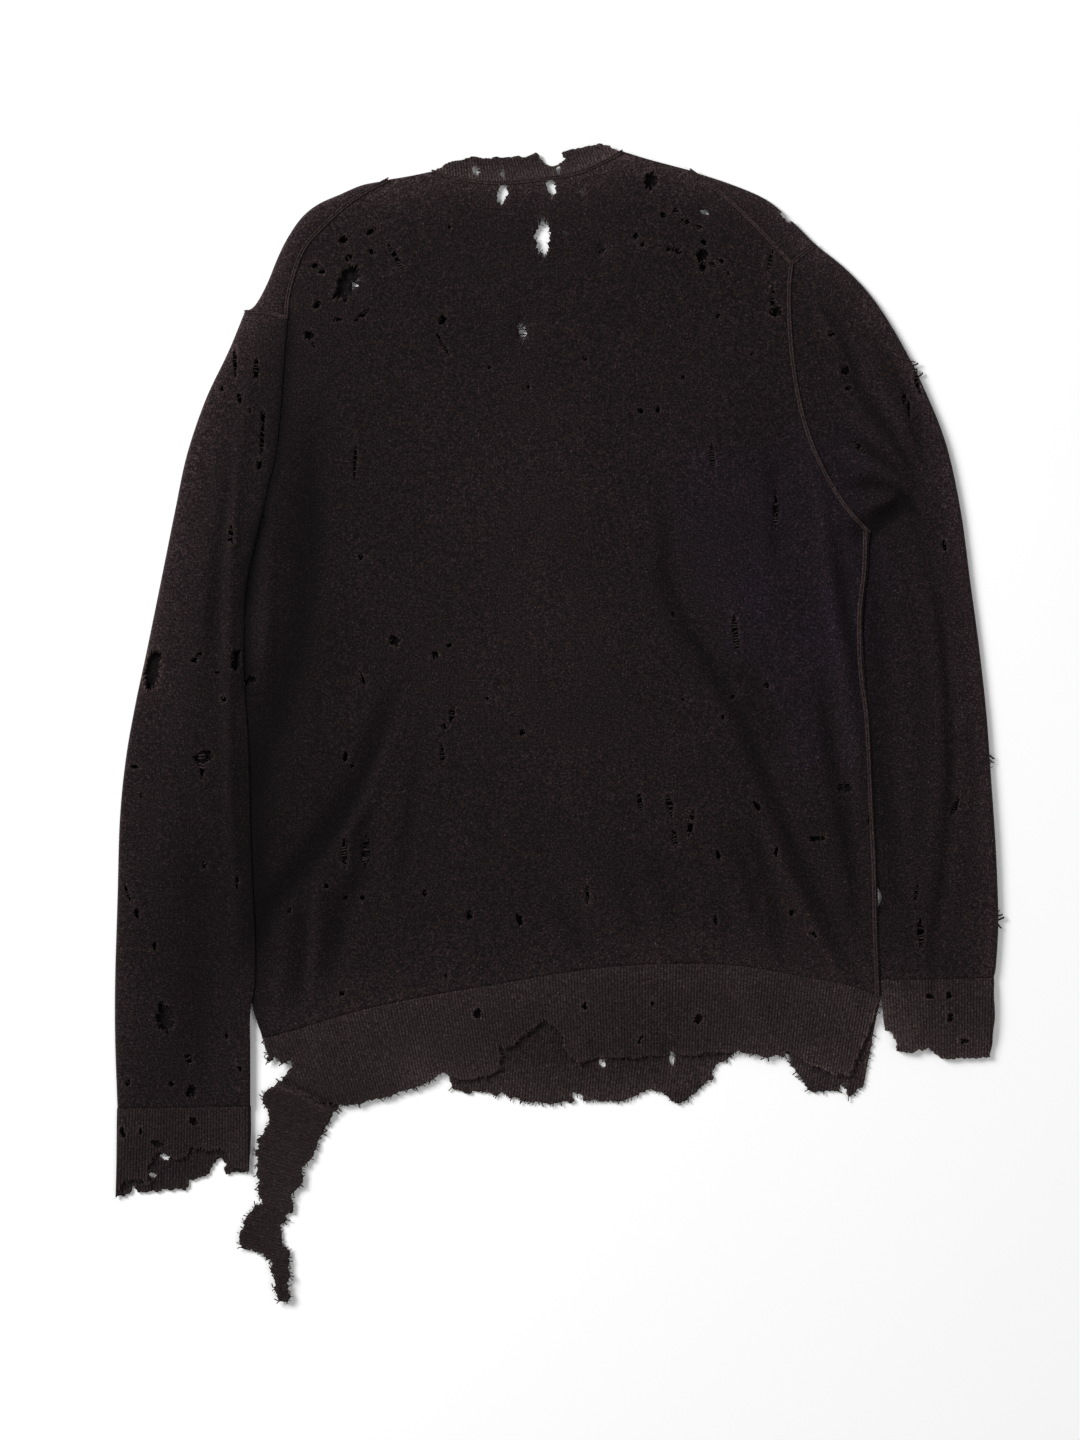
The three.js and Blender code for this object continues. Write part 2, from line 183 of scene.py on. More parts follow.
left_shoulder_fold = smooth((-267, 348), (-258, 354), (-248, 372), (-239, 394), (-230, 412), (-218, 429),
                            (-204, 440), (-186, 448), (-167, 456), (-145, 460))
left_shoulder_top = smooth((-145, 460), (-127, 463), (-108, 467))
left_outer = smooth((-267, 348), (-281, 314), (-300, 274), (-316, 227), (-326, 180), (-337, 125),
                    (-350, 61), (-360, 14), (-368, -32), (-373, -83), (-375, -151), (-377, -219),
                    (-377, -270), (-375, -328))
left_inner = smooth((-232, 343), (-236, 308), (-240, 265), (-244, 227), (-251, 193), (-258, 159),
                    (-271, 104), (-271, 53), (-269, -15), (-267, -109), (-264, -185), (-263, -236),
                    (-259, -279), (-262, -326))
right_outer = smooth((218, 405), (243, 385), (267, 359), (290, 323), (311, 281), (329, 235), (341, 180),
                     (349, 121), (357, 61), (363, 6), (367, -49), (371, -109), (373, -168), (371, -207),
                     (369, -217))
right_inner = smooth((263, 161), (265, 104), (266, 19), (269, -66), (275, -134), (278, -177), (279, -219))
# Beside the body the sleeves overlap it: the left one lies on its edge, the right one passes under it.
left_fold = smooth((-230, 343), (-233, 308), (-236, 265), (-240, 228), (-246, 200), (-252, 171),
                   (-260, 139), (-266, 99), (-267, 43), (-264, -15), (-261, -109), (-258, -185),
                   (-258, -222), (-262, -246), (-262, -279), (-262, -326))
right_fold = smooth((263, 161), (258, 104), (258, 19), (261, -66), (265, -122), (270, -138), (274, -149),
                    (270, -160), (265, -180), (271, -219))
left_cuff_line = smooth((-375, -328), (-320, -327), (-262, -326))
right_cuff_line = smooth((369, -217), (325, -218), (271, -219))
print("body from neck to hem rib:", round(back_neck[:, 1].min() - hem_line[:, 1].max()), "mm")

# %% [markdown]
# ## Tears
#
# Each tear is where the knitting has given way: its middle, how wide and high it is, and how far it leans
# clockwise. Wide ones are moth holes, tall narrow ones are slits where a wale has run. `tear` turns one into
# a ragged ring. The rings are cut out of the sheet itself, so the light, the shadow and the mesh all see a
# real hole.

# %% Tears in the back
# Each is (x, y, width, height, lean in degrees)
BACK_TEARS = [
    (-48, 449, 7.5, 16, 0), (-7, 455, 7, 14.5, 0), (-14, 411, 10, 36.5, 0), (-31, 331, 5, 16.5, -6),
    (19, 450, 2.5, 3.5, 0), (37, 400, 5, 3.5, -30), (123, 433, 6, 3.5, 30), (-93, 420, 2.5, 2.5, 0),
    (4, 416, 2.5, 2.5, 0), (78, 459, 8.5, 15.5, 20), (88, 430, 5, 4, 0), (99, 434, 3.5, 3.5, 0),
    (107, 425, 6, 3.5, 0), (119, 420, 5, 3.5, 0), (65, 412, 4, 5, 0), (71, 405, 3.5, 4, 0),
    (93, 401, 3.5, 3.5, 0), (100, 400, 7.5, 4, 10), (123, 407, 5, 4, 0), (121, 396, 9.5, 10, 0),
    (122, 386, 6, 6, 0), (130, 388, 4, 3.5, 0), (138, 391, 3.5, 2.5, 0), (144, 381, 2.5, 2.5, 0),
    (135, 344, 2.5, 3.5, 0), (179, 390, 4, 17, 10), (181, 360, 4, 17, 0), (184, 348, 12, 6, -10),
    (-159, 416, 9.5, 3.5, -25), (-183, 409, 8.5, 3.5, -40), (-159, 399, 6, 3.5, 0), (-178, 394, 5, 5, 0),
    (-207, 387, 3.5, 3.5, 0), (-201, 382, 3.5, 3.5, 0), (-139, 395, 4, 24, -28), (-180, 372, 16, 27, 35),
    (-205, 354, 10, 3.5, -35), (-167, 345, 3.5, 15.5, 45), (-188, 341, 6, 3.5, 0), (-212, 328, 7, 7.5, 0),
    (-208, 320, 2.5, 3.5, 0), (-99, 341, 6, 7.5, 0), (-99, 321, 2.5, 18.5, -30), (-173, 221, 2.5, 25.5, 2),
    (-59, 301, 2.5, 2.5, 0), (-26, 284, 2.5, 2.5, 0), (22, 308, 2.5, 4, 0), (105, 292, 2.5, 3.5, 0),
    (69, 264, 3.5, 4, 0), (84, 265, 3.5, 4, 0), (164, 312, 2.5, 2.5, 0), (130, 223, 3.5, 22, 0),
    (-168, 140, 4, 3.5, 0), (-140, 69, 7, 8.5, 0), (-105, 57, 3.5, 7.5, 0), (-93, 65, 3.5, 3.5, 0),
    (-166, 36, 2.5, 10, -15), (-61, 20, 2.5, 2.5, 0), (-91, 6, 4, 12, 15), (-97, -4, 3.5, 5, 0),
    (-99, -28, 3.5, 18.5, 0), (-181, -29, 4, 7.5, 0), (-175, -37, 3.5, 3.5, 0), (-31, -9, 5, 4, 0),
    (-133, -58, 2.5, 2.5, 0), (-182, -112, 4, 25.5, 0), (-164, -110, 5, 29, 0), (-197, -139, 3.5, 3.5, 0),
    (-181, -150, 3.5, 4, 0), (-167, -149, 3.5, 3.5, 0), (-114, -145, 3.5, 5, 0), (-76, -164, 5, 7, 0),
    (-34, -167, 5, 9.5, 0), (-184, -230, 3.5, 4, 0), (-229, -160, 2.5, 4, 0), (-96, -215, 2.5, 3.5, 0),
    (97, 91, 2.5, 3.5, 0), (150, 74, 4, 39, -10), (176, 31, 4, 4, 0), (147, 21, 2.5, 3.5, 0),
    (105, 19, 2.5, 2.5, 0), (139, 4, 2.5, 3.5, 0), (69, -68, 4, 13.5, -15), (94, -71, 4, 17, -8),
    (98, -99, 3.5, 17, -8), (112, -86, 5, 20.5, 10), (135, -113, 2.5, 7.5, -20), (168, -71, 5, 7, -40),
    (184, -110, 3.5, 7, 0), (219, -99, 16, 4, -5), (243, -56, 9.5, 7.5, -20), (264, -83, 3.5, 7.5, 0),
    (24, -146, 2.5, 15.5, 5), (133, -168, 2.5, 8.5, -20), (198, -162, 6, 3.5, -15), (216, -180, 6, 3.5, 20),
    (184, 179, 5, 25.5, 0), (-263, 35, 8, 8.5, 0),
]
# The front is torn under some of them, a little wider, so that the surface shows through
FRONT_TEARS = [(-31, 330, 15, 27, 0), (-171, 371, 9, 11, 20), (38, 400, 10, 8, 0), (123, 433, 10, 8, 0)]
SHOULDER_TEARS = [(194, 429, 9.5, 8.5, 20)]
print(len(BACK_TEARS), "tears in the back")

# %% Tears in the sleeves and ribs
LEFT_SLEEVE_TEARS = [
    (-275, 306, 2.5, 24, 0), (-257, 299, 3.5, 18.5, 0), (-286, 283, 2.5, 3.5, 0), (-271, 274, 3.5, 7.5, 0),
    (-262, 264, 2.5, 3.5, 0), (-251, 259, 3.5, 8.5, 0), (-252, 240, 3.5, 23, 5), (-254, 218, 3.5, 7, 0),
    (-278, 159, 4, 18, 0), (-345, 44, 14.5, 28, 8), (-305, 57, 3.5, 4, 0), (-309, 52, 5, 2.5, 0),
    (-290, 42, 2.5, 2.5, 0), (-274, 53, 7.5, 17, 0), (-284, 19, 3.5, 4, 0), (-302, -30, 13.5, 10, 0),
    (-303, -36, 5, 20.5, 0), (-360, -38, 5, 3.5, 0), (-354, -62, 2.5, 3.5, 0), (-301, -121, 2.5, 6, 0),
    (-273, -136, 2.5, 9.5, 0), (-366, -145, 2.5, 13.5, -15), (-358, -162, 2.5, 10, -15),
    (-343, -190, 2.5, 6, 0), (-334, -252, 16, 18.5, 15), (-338, -243, 5, 10, 0), (-282, -266, 2.5, 4, 0),
    (-314, -287, 4, 12, -25), (-312, -313, 6, 12, 0), (-329, -307, 3.5, 4, 0), (-366, -306, 3.5, 4, 0),
    (-271, -294, 3.5, 3.5, 0),
]
RIGHT_SLEEVE_TEARS = [
    (231, 329, 7, 4, 20), (243, 298, 5, 7.5, 20), (246, 283, 5, 3.5, 0), (304, 288, 3.5, 22, -15),
    (297, 264, 2.5, 12, 0), (255, 233, 3.5, 11, -45), (327, 150, 3.5, 7.5, 0), (336, -70, 2.5, 18.5, 20),
    (303, -144, 3.5, 13.5, 15), (307, -180, 5, 25.5, 0), (293, 275, 3.5, 7, 0),
]
LEFT_CUFF_TEARS = [(-370, -348, 3.5, 8.5, 0), (-310, -339, 7.5, 6, 0), (-341, -358, 9.5, 6, 0),
                   (-355, -347, 3.5, 4, 0)]
LEFT_CUFF_THROUGH = [(-334, -369, 7, 6, 0), (-345, -385, 4, 3.5, 0)]
RIGHT_CUFF_TEARS = [(315, -233, 7, 4, 0), (331, -232, 5, 5, 0), (332, -251, 5, 5, 0), (344, -271, 7, 5, 0)]
BACK_HEM_TEARS = [
    (-69, -247, 7, 7, 0), (22, -241, 4, 5, 0), (79, -239, 3.5, 2.5, 0), (118, -252, 8.5, 6, -20),
    (69, -270, 2.5, 7.5, 20),
]
HEM_THROUGH = [(37, -290, 3.5, 9.5, 0), (96, -286, 3.5, 11, 0), (96, -266, 2.5, 2.5, 0)]
NECKBAND_TEARS = [(-71, 468, 7, 6, 0), (-48, 465, 2.5, 11, 0), (-1, 467, 2.5, 11, 0)]
print(len(LEFT_SLEEVE_TEARS) + len(RIGHT_SLEEVE_TEARS), "tears in the sleeves")

# %% A tear as a ring
GAPE = 1.1  # mm that every tear has opened beyond the stitches it lost
TEAR_STEP = 1.2  # mm between the points of its ring
# A tear this many times higher than wide is a slit, and is pinched to a point at both ends
SLIT, PINCH = 3, 1.6
RAGGED, LOBED = 0.28, 0.16  # how far its edge strays, point by point and as a whole, as shares of its size


def tear(place, seed):
    """A ragged ring round one tear."""
    x, y, wide, high, lean = place
    wide, high = wide + GAPE, high + GAPE
    random = np.random.default_rng(seed)
    count = max(9, round(math.pi * (wide + high) / 2 / TEAR_STEP))
    angle = np.linspace(0, 2 * math.pi, count, endpoint=False)
    pinch = PINCH if high > SLIT * wide else 1.0
    across = np.sign(np.cos(angle)) * np.abs(np.cos(angle)) ** pinch * wide / 2
    along = np.sin(angle) * high / 2
    rough = 1 + random.uniform(-RAGGED, RAGGED, count) + LOBED * np.sin(2 * angle + random.uniform(0, 6))
    turn = math.radians(-lean)
    turned = np.array([[math.cos(turn), math.sin(turn)], [-math.sin(turn), math.cos(turn)]])
    return np.column_stack([across, along]) * rough[:, None] @ turned + (x, y)


def tears(places, seed):
    return [tear(place, seed + i) for i, place in enumerate(places)]


print("the longest tear has", len(tear(BACK_TEARS[2], 1)), "points")

# %% [markdown]
# ## Height
#
# Cloth that lies flat is never flat. Long soft ridges and troughs are listed along the main creases,
# each with a lift and a reach, and a slow swell is added between them. Near a fold the height drops on a
# quarter circle to where the other layer comes up to meet it.

# %% The creases
# Each is (lift, reach, line), all in mm
FOLDS = [
    # The pocket under the right arm, and the creases that fan out of it
    (-7.0, 8, smooth((248, 155), (262, 164), (274, 172), (286, 180), (297, 192))),
    (3.4, 4.5, smooth((253, 181), (268, 182), (280, 188), (290, 196))),
    (-5.2, 5, smooth((246, 198), (258, 201), (272, 202), (286, 197), (298, 186), (308, 168))),
    (2.6, 5, smooth((252, 217), (268, 214), (284, 207), (300, 192))),
    (-3.6, 4.5, smooth((240, 240), (258, 235), (277, 222), (300, 200))),
    (2.6, 6, smooth((238, 268), (258, 252), (278, 236), (296, 214))),
    (-3.4, 5.5, smooth((238, 312), (256, 282), (274, 255), (296, 222), (306, 196))),
    (2.6, 6, smooth((252, 324), (268, 296), (286, 262), (304, 220))),
    (-2.6, 5.5, smooth((272, 322), (290, 290), (304, 252), (311, 215))),
    (-3.0, 5, smooth((226, 352), (238, 328), (250, 306), (262, 284))),
    (2.4, 6, smooth((214, 366), (226, 340), (240, 312), (246, 294))),
    # Right sleeve
    (2.0, 7, smooth((303, 150), (314, 100), (320, 50), (323, 0), (322, -60), (314, -110), (312, -170))),
    (-2.4, 4.5, smooth((298, 178), (310, 146), (319, 116), (326, 79), (331, 22), (333, -43), (331, -85),
                       (327, -127), (320, -170), (318, -202), (318, -258))),
    (1.4, 7, smooth((336, 100), (342, 20), (343, -60), (337, -140), (330, -205))),
    (-2.6, 9, smooth((266, 150), (271, 79), (273, 22), (276, -43), (284, -100), (288, -180))),
    (1.2, 8, smooth((290, 120), (296, 40), (298, -60), (300, -160))),
    # Right of the body
    (-4.2, 7, smooth((86, 210), (92, 160), (92, 120), (104, 88), (122, 58), (140, 30), (158, -6),
                     (172, -40), (186, -74), (200, -108), (214, -142), (230, -178), (249, -214),
                     (270, -250))),
    (3.0, 5, smooth((168, -76), (182, -104), (197, -136), (213, -168), (230, -198), (250, -232))),
    (-2.8, 6, smooth((160, -80), (172, -118), (182, -155), (187, -185), (192, -215))),
    (-2.4, 5, smooth((148, -92), (158, -120), (166, -150), (173, -182))),
    (-1.8, 8, smooth((74, -108), (90, -140), (102, -185))),
    (-1.6, 7, smooth((130, -140), (140, -165), (150, -192))),
    (-4.0, 6, smooth((222, 40), (227, 5), (232, -28), (238, -60), (244, -92), (249, -128), (255, -180))),
    (3.2, 7, smooth((206, 262), (213, 236), (221, 195), (226, 149), (232, 97), (241, 46), (248, -1),
                    (254, -45), (261, -90), (268, -140))),
    (-2.6, 6, smooth((178, 235), (182, 204), (185, 170), (186, 130))),
    (-3.2, 5, smooth((236, 165), (242, 120), (247, 85), (254, 50), (258, 10))),
    (-1.8, 10, smooth((140, 60), (158, 40), (178, 0), (186, -40))),
    # Left of the body
    (-5.2, 14, smooth((-206, 262), (-211, 222), (-213, 170), (-217, 107), (-225, 55), (-240, 0),
                      (-254, -38), (-262, -75))),
    (3.6, 8, smooth((-240, 196), (-246, 150), (-248, 107), (-250, 60), (-256, 20))),
    (-5.6, 9.5, smooth((-132, 34), (-148, 4), (-160, -32), (-178, -68), (-202, -102), (-226, -134),
                     (-248, -166), (-258, -196))),
    (2.8, 6, smooth((-140, -8), (-152, -40), (-168, -76), (-186, -106))),
    (-4.2, 8, smooth((-158, -62), (-165, -100), (-168, -130), (-184, -158), (-190, -195), (-196, -225))),
    (2.4, 6, smooth((-196, -122), (-204, -150), (-206, -190), (-210, -235))),
    (-3.0, 6, smooth((-216, -150), (-216, -185), (-219, -215), (-222, -245))),
    (2.0, 6, smooth((-232, -160), (-234, -200), (-238, -245))),
    (-2.0, 7, smooth((-118, -20), (-124, -60), (-128, -100), (-136, -150))),
    # Left sleeve
    (3.0, 5, smooth((-262, 300), (-270, 240), (-276, 170), (-279, 100), (-280, 20), (-279, -60),
                    (-275, -130), (-270, -200))),
    (-2.4, 6, smooth((-274, 230), (-281, 190), (-287, 150), (-292, 90), (-294, 20))),
    (1.4, 14, smooth((-262, 300), (-285, 200), (-312, 60), (-326, -60), (-335, -200))),
    (-1.8, 14, smooth((-306, -100), (-300, -180), (-302, -260), (-306, -320))),
    # Long swells over the middle and the hem
    (0.9, 40, smooth((-25, 260), (-12, 60), (0, -100))),
    (-1.6, 9, smooth((-10, -140), (8, -170), (24, -205))),
    (-1.4, 9, smooth((50, -110), (62, -150), (70, -190))),
    (1.6, 10, smooth((150, -215), (168, -245), (176, -275))),
    # Where the torn strip passes under the hem
    (1.0, 5, smooth((-240, -293), (-226, -300), (-212, -309), (-198, -318), (-182, -323))),
]
print(len(FOLDS), "creases")

# %% The height that they give
# Share of a crease's length over which it runs out, and what is left at its very end
RUN_OUT, FIRST = 0.3, 0.15
# Dips where a tear goes through both layers, so that these meet: depth, reach and middle
DIMPLES = [(3.6, 9, (-31, 331)), (2.6, 9, (-172, 371)), (2.6, 9, (37, -290)), (2.6, 9, (96, -286)),
           (3.2, 6, (37, 400)), (3.2, 6, (123, 433))]
DEEPEST = 3.4  # mm that a trough can sink before it lies on the layer below
NECK_SINK = 3.9  # mm that the back sinks over the neck opening, where no front lies under it


def nearest_on(points, line):
    """From each point to the nearest place on a line: how far off it is, and its share of the line's length."""
    off, share = np.full(len(points), FAR), np.zeros(len(points))
    lengths = measured(line)
    for a, b, start, end in zip(line[:-1], line[1:], lengths[:-1], lengths[1:]):
        d = b - a
        t = np.clip(((points - a) @ d) / (d @ d + 1e-12), 0, 1)
        away = np.linalg.norm(points - a - t[:, None] * d, axis=1)
        closer = away < off
        off[closer] = away[closer]
        share[closer] = (start + t[closer] * (end - start)) / lengths[-1]
    return off, share


def distance(points, line):
    """How far each point is from a line."""
    return nearest_on(points, line)[0]


def creases(points):
    """The ridges and troughs, which run out softly at both ends."""
    z = np.zeros(len(points))
    for lift, reach, line in FOLDS:
        near = np.linalg.norm(points - line.mean(0), axis=1) < measured(line)[-1] / 2 + 4 * reach
        off, share = nearest_on(points[near], line[::3])
        ends = np.clip(np.minimum(share, 1 - share) / RUN_OUT + FIRST, 0, 1)
        z[near] += lift * ends * np.exp(-((off / reach) ** 2))
    return z


def upper(points):
    """Height of the upper layer's outer face."""
    x, y = points.T
    swell = 0.3 * np.sin(x / 37 + 1.6 * np.sin(y / 71)) + 0.25 * np.sin(y / 49 + x / 97 + 1.1 * np.sin(x / 60))
    z = UPPER + swell - NECK_SINK * np.exp(-(((x + 28) / 66) ** 4) - (((y - 440) / 48) ** 4))
    for depth, reach, (at_x, at_y) in DIMPLES:
        z -= depth * np.exp(-(((x - at_x) / reach) ** 2) - (((y - at_y) / reach / 1.5) ** 2))
    folded = creases(points)
    return z + np.where(folded < 0, DEEPEST * np.tanh(folded / DEEPEST), folded)


def fold(line, meet=MEET, reach=ROLL):
    """A fold: its line, the height at which the layers meet on it, and how far in the cloth curves."""
    return line, meet, reach


def rolled(points, z, folds):
    """Brings heights to meet along each fold, on a quarter circle."""
    for line, meet, reach in folds:
        near = np.clip(distance(points, line) / reach, 0, 1)
        z = meet + (z - meet) * np.sqrt(1 - (1 - near) ** 2)
    return z


print("depth of the pocket under the right arm:", round(creases(np.array([[274.0, 172.0]]))[0], 1), "mm")

# %% [markdown]
# ## Cutting a sheet
#
# A grid of squares can't follow a ragged hole, and a boolean on thin cloth is slow and leaves slivers. A
# constrained Delaunay triangulation does it directly: the outline and every tear go in as edges that must be
# kept, loose points fill the middle, and the triangles that fall outside are thrown away.

# %% Triangles over an outline less its tears
def inside(points, ring):
    """Which points lie inside a closed ring, by the even-odd rule."""
    odd = np.zeros(len(points), bool)
    x, y = points.T
    for (ax, ay), (bx, by) in zip(ring, np.roll(ring, -1, axis=0)):
        if ay != by:
            odd ^= ((ay > y) != (by > y)) & (x < (bx - ax) * (y - ay) / (by - ay) + ax)
    return odd


def in_any(points, rings):
    """Which points lie inside any of the rings."""
    found = np.zeros(len(points), bool)
    for ring in rings:
        low, high = ring.min(0), ring.max(0)
        near = np.all((points >= low) & (points <= high), axis=1)
        found[near] |= inside(points[near], ring)
    return found


def tree_of(points):
    """A search tree that finds the nearest of these points."""
    tree = kdtree.KDTree(len(points))
    for i, (x, y) in enumerate(points):
        tree.insert((x, y, 0), i)
    tree.balance()
    return tree


def nearest(points, lines):
    """Distance from each point to the nearest point of any of the lines."""
    if not lines:
        return np.full(len(points), FAR)
    tree = tree_of(np.vstack(lines))
    return np.array([tree.find((x, y, 0))[2] for x, y in points])


def filling(ring, spacing):
    """Points in staggered rows over a ring's box."""
    low, high = ring.min(0), ring.max(0)
    rows = np.arange(low[1], high[1], spacing * 0.866)
    columns = np.arange(low[0], high[0], spacing)
    return np.array([(x + spacing / 2 * (i % 2), y) for i, y in enumerate(rows) for x in columns])


def triangulated(ring, holes, free):
    """(points, triangles) over a ring less its holes, through all the free points."""
    points, edges = [], []
    for loop in [ring, *holes]:
        first = len(points)
        points += [Vector(p) for p in loop]
        edges += [(first + i, first + (i + 1) % len(loop)) for i in range(len(loop))]
    points += [Vector(p) for p in free]
    made = geometry.delaunay_2d_cdt(points, edges, [], 0, 1e-4, False)
    flat, faces = np.array([tuple(p) for p in made[0]]), np.array(made[2])
    middles = flat[faces].mean(axis=1)
    return flat, faces[inside(middles, ring) & ~in_any(middles, holes)]


FOLD_ROWS = (0.1, 0.32, 0.65)  # extra rows of points beside a fold, as shares of its reach
CLEAR_OF_RIM = 0.6  # mm that such a row keeps from an edge
CROWDED = 0.45  # a filling point closer than this share of the spacing to another is left out


def cut_sheet(outline, holes, folds=(), spacing=CELL):
    """(points, triangles) of a sheet with its holes cut out. Along a fold it has closer rows, to curve on."""
    rims = [outline, *holes]
    rows = np.vstack([np.zeros((0, 2))] + [shifted(line, side * share * reach) for line, _, reach in folds
                                           for side in (-1, 1) for share in FOLD_ROWS])
    rows = rows[inside(rows, outline)]
    rows = rows[nearest(rows, rims) > CLEAR_OF_RIM]
    loose = filling(outline, spacing)
    loose = loose[inside(loose, outline)]
    loose = loose[nearest(loose, [*rims, rows]) > spacing * CROWDED]
    free = np.vstack([rows, loose])
    return triangulated(outline, holes, free[~in_any(free, holes)])


square = closed(smooth((0, 0), (60, 0)), smooth((60, 0), (60, 60)), smooth((60, 60), (0, 60)))
print("a 60 mm square with one tear has", len(cut_sheet(square, [tear((30, 30, 10, 20, 0), 1)])[1]),
      "triangles")

# %% [markdown]
# ## Where the wool is rubbed, and where light and shade are painted
#
# Dark wool shows its folds little by the light on them, so light and shade are painted into its colour: painted
# shade in the hollows and beside covering edges, a painted highlight on the ridges and painted light along the
# outer edges. Painting that by hand would fix it to one view of one mesh. Here it is worked out from the same
# lines that give the height, as one number for each point, by which the material multiplies its colour.

# %% Wear, painted shade and painted light
# Painted light and shade along lines: each makes the colour beside it paler, or darker where negative
TONE_AND_PAINTED_LIGHT = [  # (share, reach in mm, line): how much paler the wool is beside the line, or darker where negative
    # Painted light along the outer edges and shoulders
    (1.9, 13, left_outer[measured(left_outer) < 330]),
    (0.7, 13, left_outer[measured(left_outer) >= 330]),
    *((1.8, 13, line) for line in (right_outer, left_shoulder_fold, left_shoulder_top, right_shoulder_top,
                                   right_shoulder_fold, back_neck)),
    (0.5, 28, hem_line),
    # Painted shadow in the nip where the torn strip bends, and a painted highlight on the crest of the bend
    (-0.75, 2.2, smooth((-233, -304), (-224, -309), (-211, -314), (-199, -320), (-191, -324))),
    (0.9, 2.4, smooth((-238, -310), (-226, -314), (-211, -321), (-194, -331))),
    # Painted shade on the lower left of the back, and in the pocket under the right arm
    (-0.3, 16, smooth((-252, -40), (-254, -110), (-252, -180))),
    (-0.3, 7, smooth((256, 160), (274, 172), (294, 190))),
    # Painted light on the hem, right cuff, left cuff and strip
    (1.3, 24, smooth((-120, -300), (-40, -312), (60, -318), (150, -290), (250, -300))),
    (1.5, 26, smooth((369, -284), (320, -286), (277, -262))),
    (0.5, 20, smooth((-377, -404), (-320, -398), (-262, -382))),
    (0.5, 60, smooth((-225, -350), (-232, -400), (-240, -480))),
    # Lighter over the middle of the back and darker on the left sleeve; painted shade down the back's left side
    (0.18, 70, smooth((-30, 240), (-10, 60))),
    (-0.30, 60, smooth((-208, 240), (-205, 60), (-200, -120), (-190, -190))),
    (-0.35, 24, smooth((-262, 40), (-260, -60), (-257, -190))),
    (-0.32, 50, smooth((-318, -120), (-318, -300))),
    # Painted shadow close beside the left sleeve's edge
    (-0.55, 5, smooth((-230, 335), (-234, 290), (-238, 245), (-243, 215), (-250, 178), (-258, 145),
                      (-265, 105), (-266, 60), (-265, 20))),
    (-0.5, 7, smooth((-250, 172), (-258, 142), (-265, 105))),
]
# Painted shade: how fast the colour darkens with each mm that a hollow sinks; a ridge gets a painted highlight
HOLLOW_PAINTED_SHADE = 0.16  # how fast the colour darkens with each mm of depth
RIDGE_PAINTED_HIGHLIGHT = 0.4  # a ridge lightens by this share of what a hollow of the same height darkens
# Painted shadow beside an edge that covers the cloth: the mm of hollow that it darkens like, over this share
# of its fold's reach
PAINTED_EDGE_SHADOW, PAINTED_EDGE_SHADOW_REACH = 2.6, 0.55


def worn(points, depth):
    """The colour's multiplier: the painted light and shade along the lines, painted shade in the hollows and a
    painted highlight on the ridges.
    """
    tone_and_painted_light = sum(share * np.exp(-distance(points, line[::4]) / reach) for share, reach, line in TONE_AND_PAINTED_LIGHT)
    return (1 + tone_and_painted_light) * np.exp(HOLLOW_PAINTED_SHADE * np.where(depth > 0, RIDGE_PAINTED_HIGHLIGHT * depth, depth))


def painted_shadow_beside_edge(points, folds):
    """Painted shadow beside an edge that covers the cloth, as mm of hollow that darken its colour where little
    light comes in.
    """
    return sum(-PAINTED_EDGE_SHADOW * np.exp(-((distance(points, line) / (PAINTED_EDGE_SHADOW_REACH * reach)) ** 2))
               for line, meet, reach in folds if meet in (UNDER, BESIDE))


# The outer edge is paler by painted light
print("wear on the outer edge of the left arm:", round(worn(left_outer[40:41], np.zeros(1))[0], 2))

# %% [markdown]
# ## From triangles to cloth
#
# A part of a piece is one flat sheet with its height: the upper side of a sleeve, say. A piece is one or
# more parts, joined where they share a fold. The mesh is the outer face of the cloth, and Solidify gives it
# the thickness of the knitting on the inside. The finished mesh is taken from the evaluated object, so no
# modifier is left on it.
#
# Four things travel with the points, for the materials and the ribs: `torn` is 1 on a torn edge and fades
# away from it, `worn` multiplies the colour with wear, painted shade and painted light,
# `wale` counts the ribs, and the UV map `knit` runs along the stitches in metres, down the body or down the
# sleeve.

# %% One sheet of cloth
CURL, CURL_REACH = 0.7, 1.8  # mm that a rim of a hole curls up, and how far in
DROOP_REACH = 13  # mm over which a free edge hangs down


def drooped(points, edges, droop):
    """How far each point hangs down by its nearness to free edges."""
    return sum(droop * np.exp(-((distance(points, edge[::3]) / DROOP_REACH) ** 2)) for edge in edges)


def part_of(flat, faces, outline, holes, edges, folds, height, droop, lower, torn_reach, **carried):
    """A part of a piece: its points at their height, and its faces, downwards where it is a lower one."""
    z = height(flat) - drooped(flat, edges, droop) + CURL * np.exp(-((nearest(flat,
                                                                              holes) / CURL_REACH) ** 2))
    return {
        "points": np.column_stack([flat, rolled(flat, z, folds)]),
        "faces": faces[:, ::-1] if lower else faces,
        "torn": np.exp(-((nearest(flat, [*holes, *edges]) / torn_reach) ** 2)),
        "area": abs(ring_area(outline)) - sum(abs(ring_area(hole)) for hole in holes),
        **carried,
    }


def along_body(points):
    """The rule for the knit map of the body: across it and along it as it lies."""
    return points


def along(outer, inner):
    """A rule for the knit map of a sleeve: across it and along it from the shoulder."""
    middle = (even(outer, 40) + even(inner, 40)) / 2
    run = measured(middle)
    right = -sideways(middle)

    def rule(points):
        at = np.array([np.argmin(np.linalg.norm(middle - p, axis=1)) for p in points])
        away = points - middle[at]
        ahead = np.column_stack([-right[at][:, 1], right[at][:, 0]])
        return np.column_stack([np.sum(away * right[at], axis=1), np.sum(away * ahead, axis=1) - run[at]])

    return rule


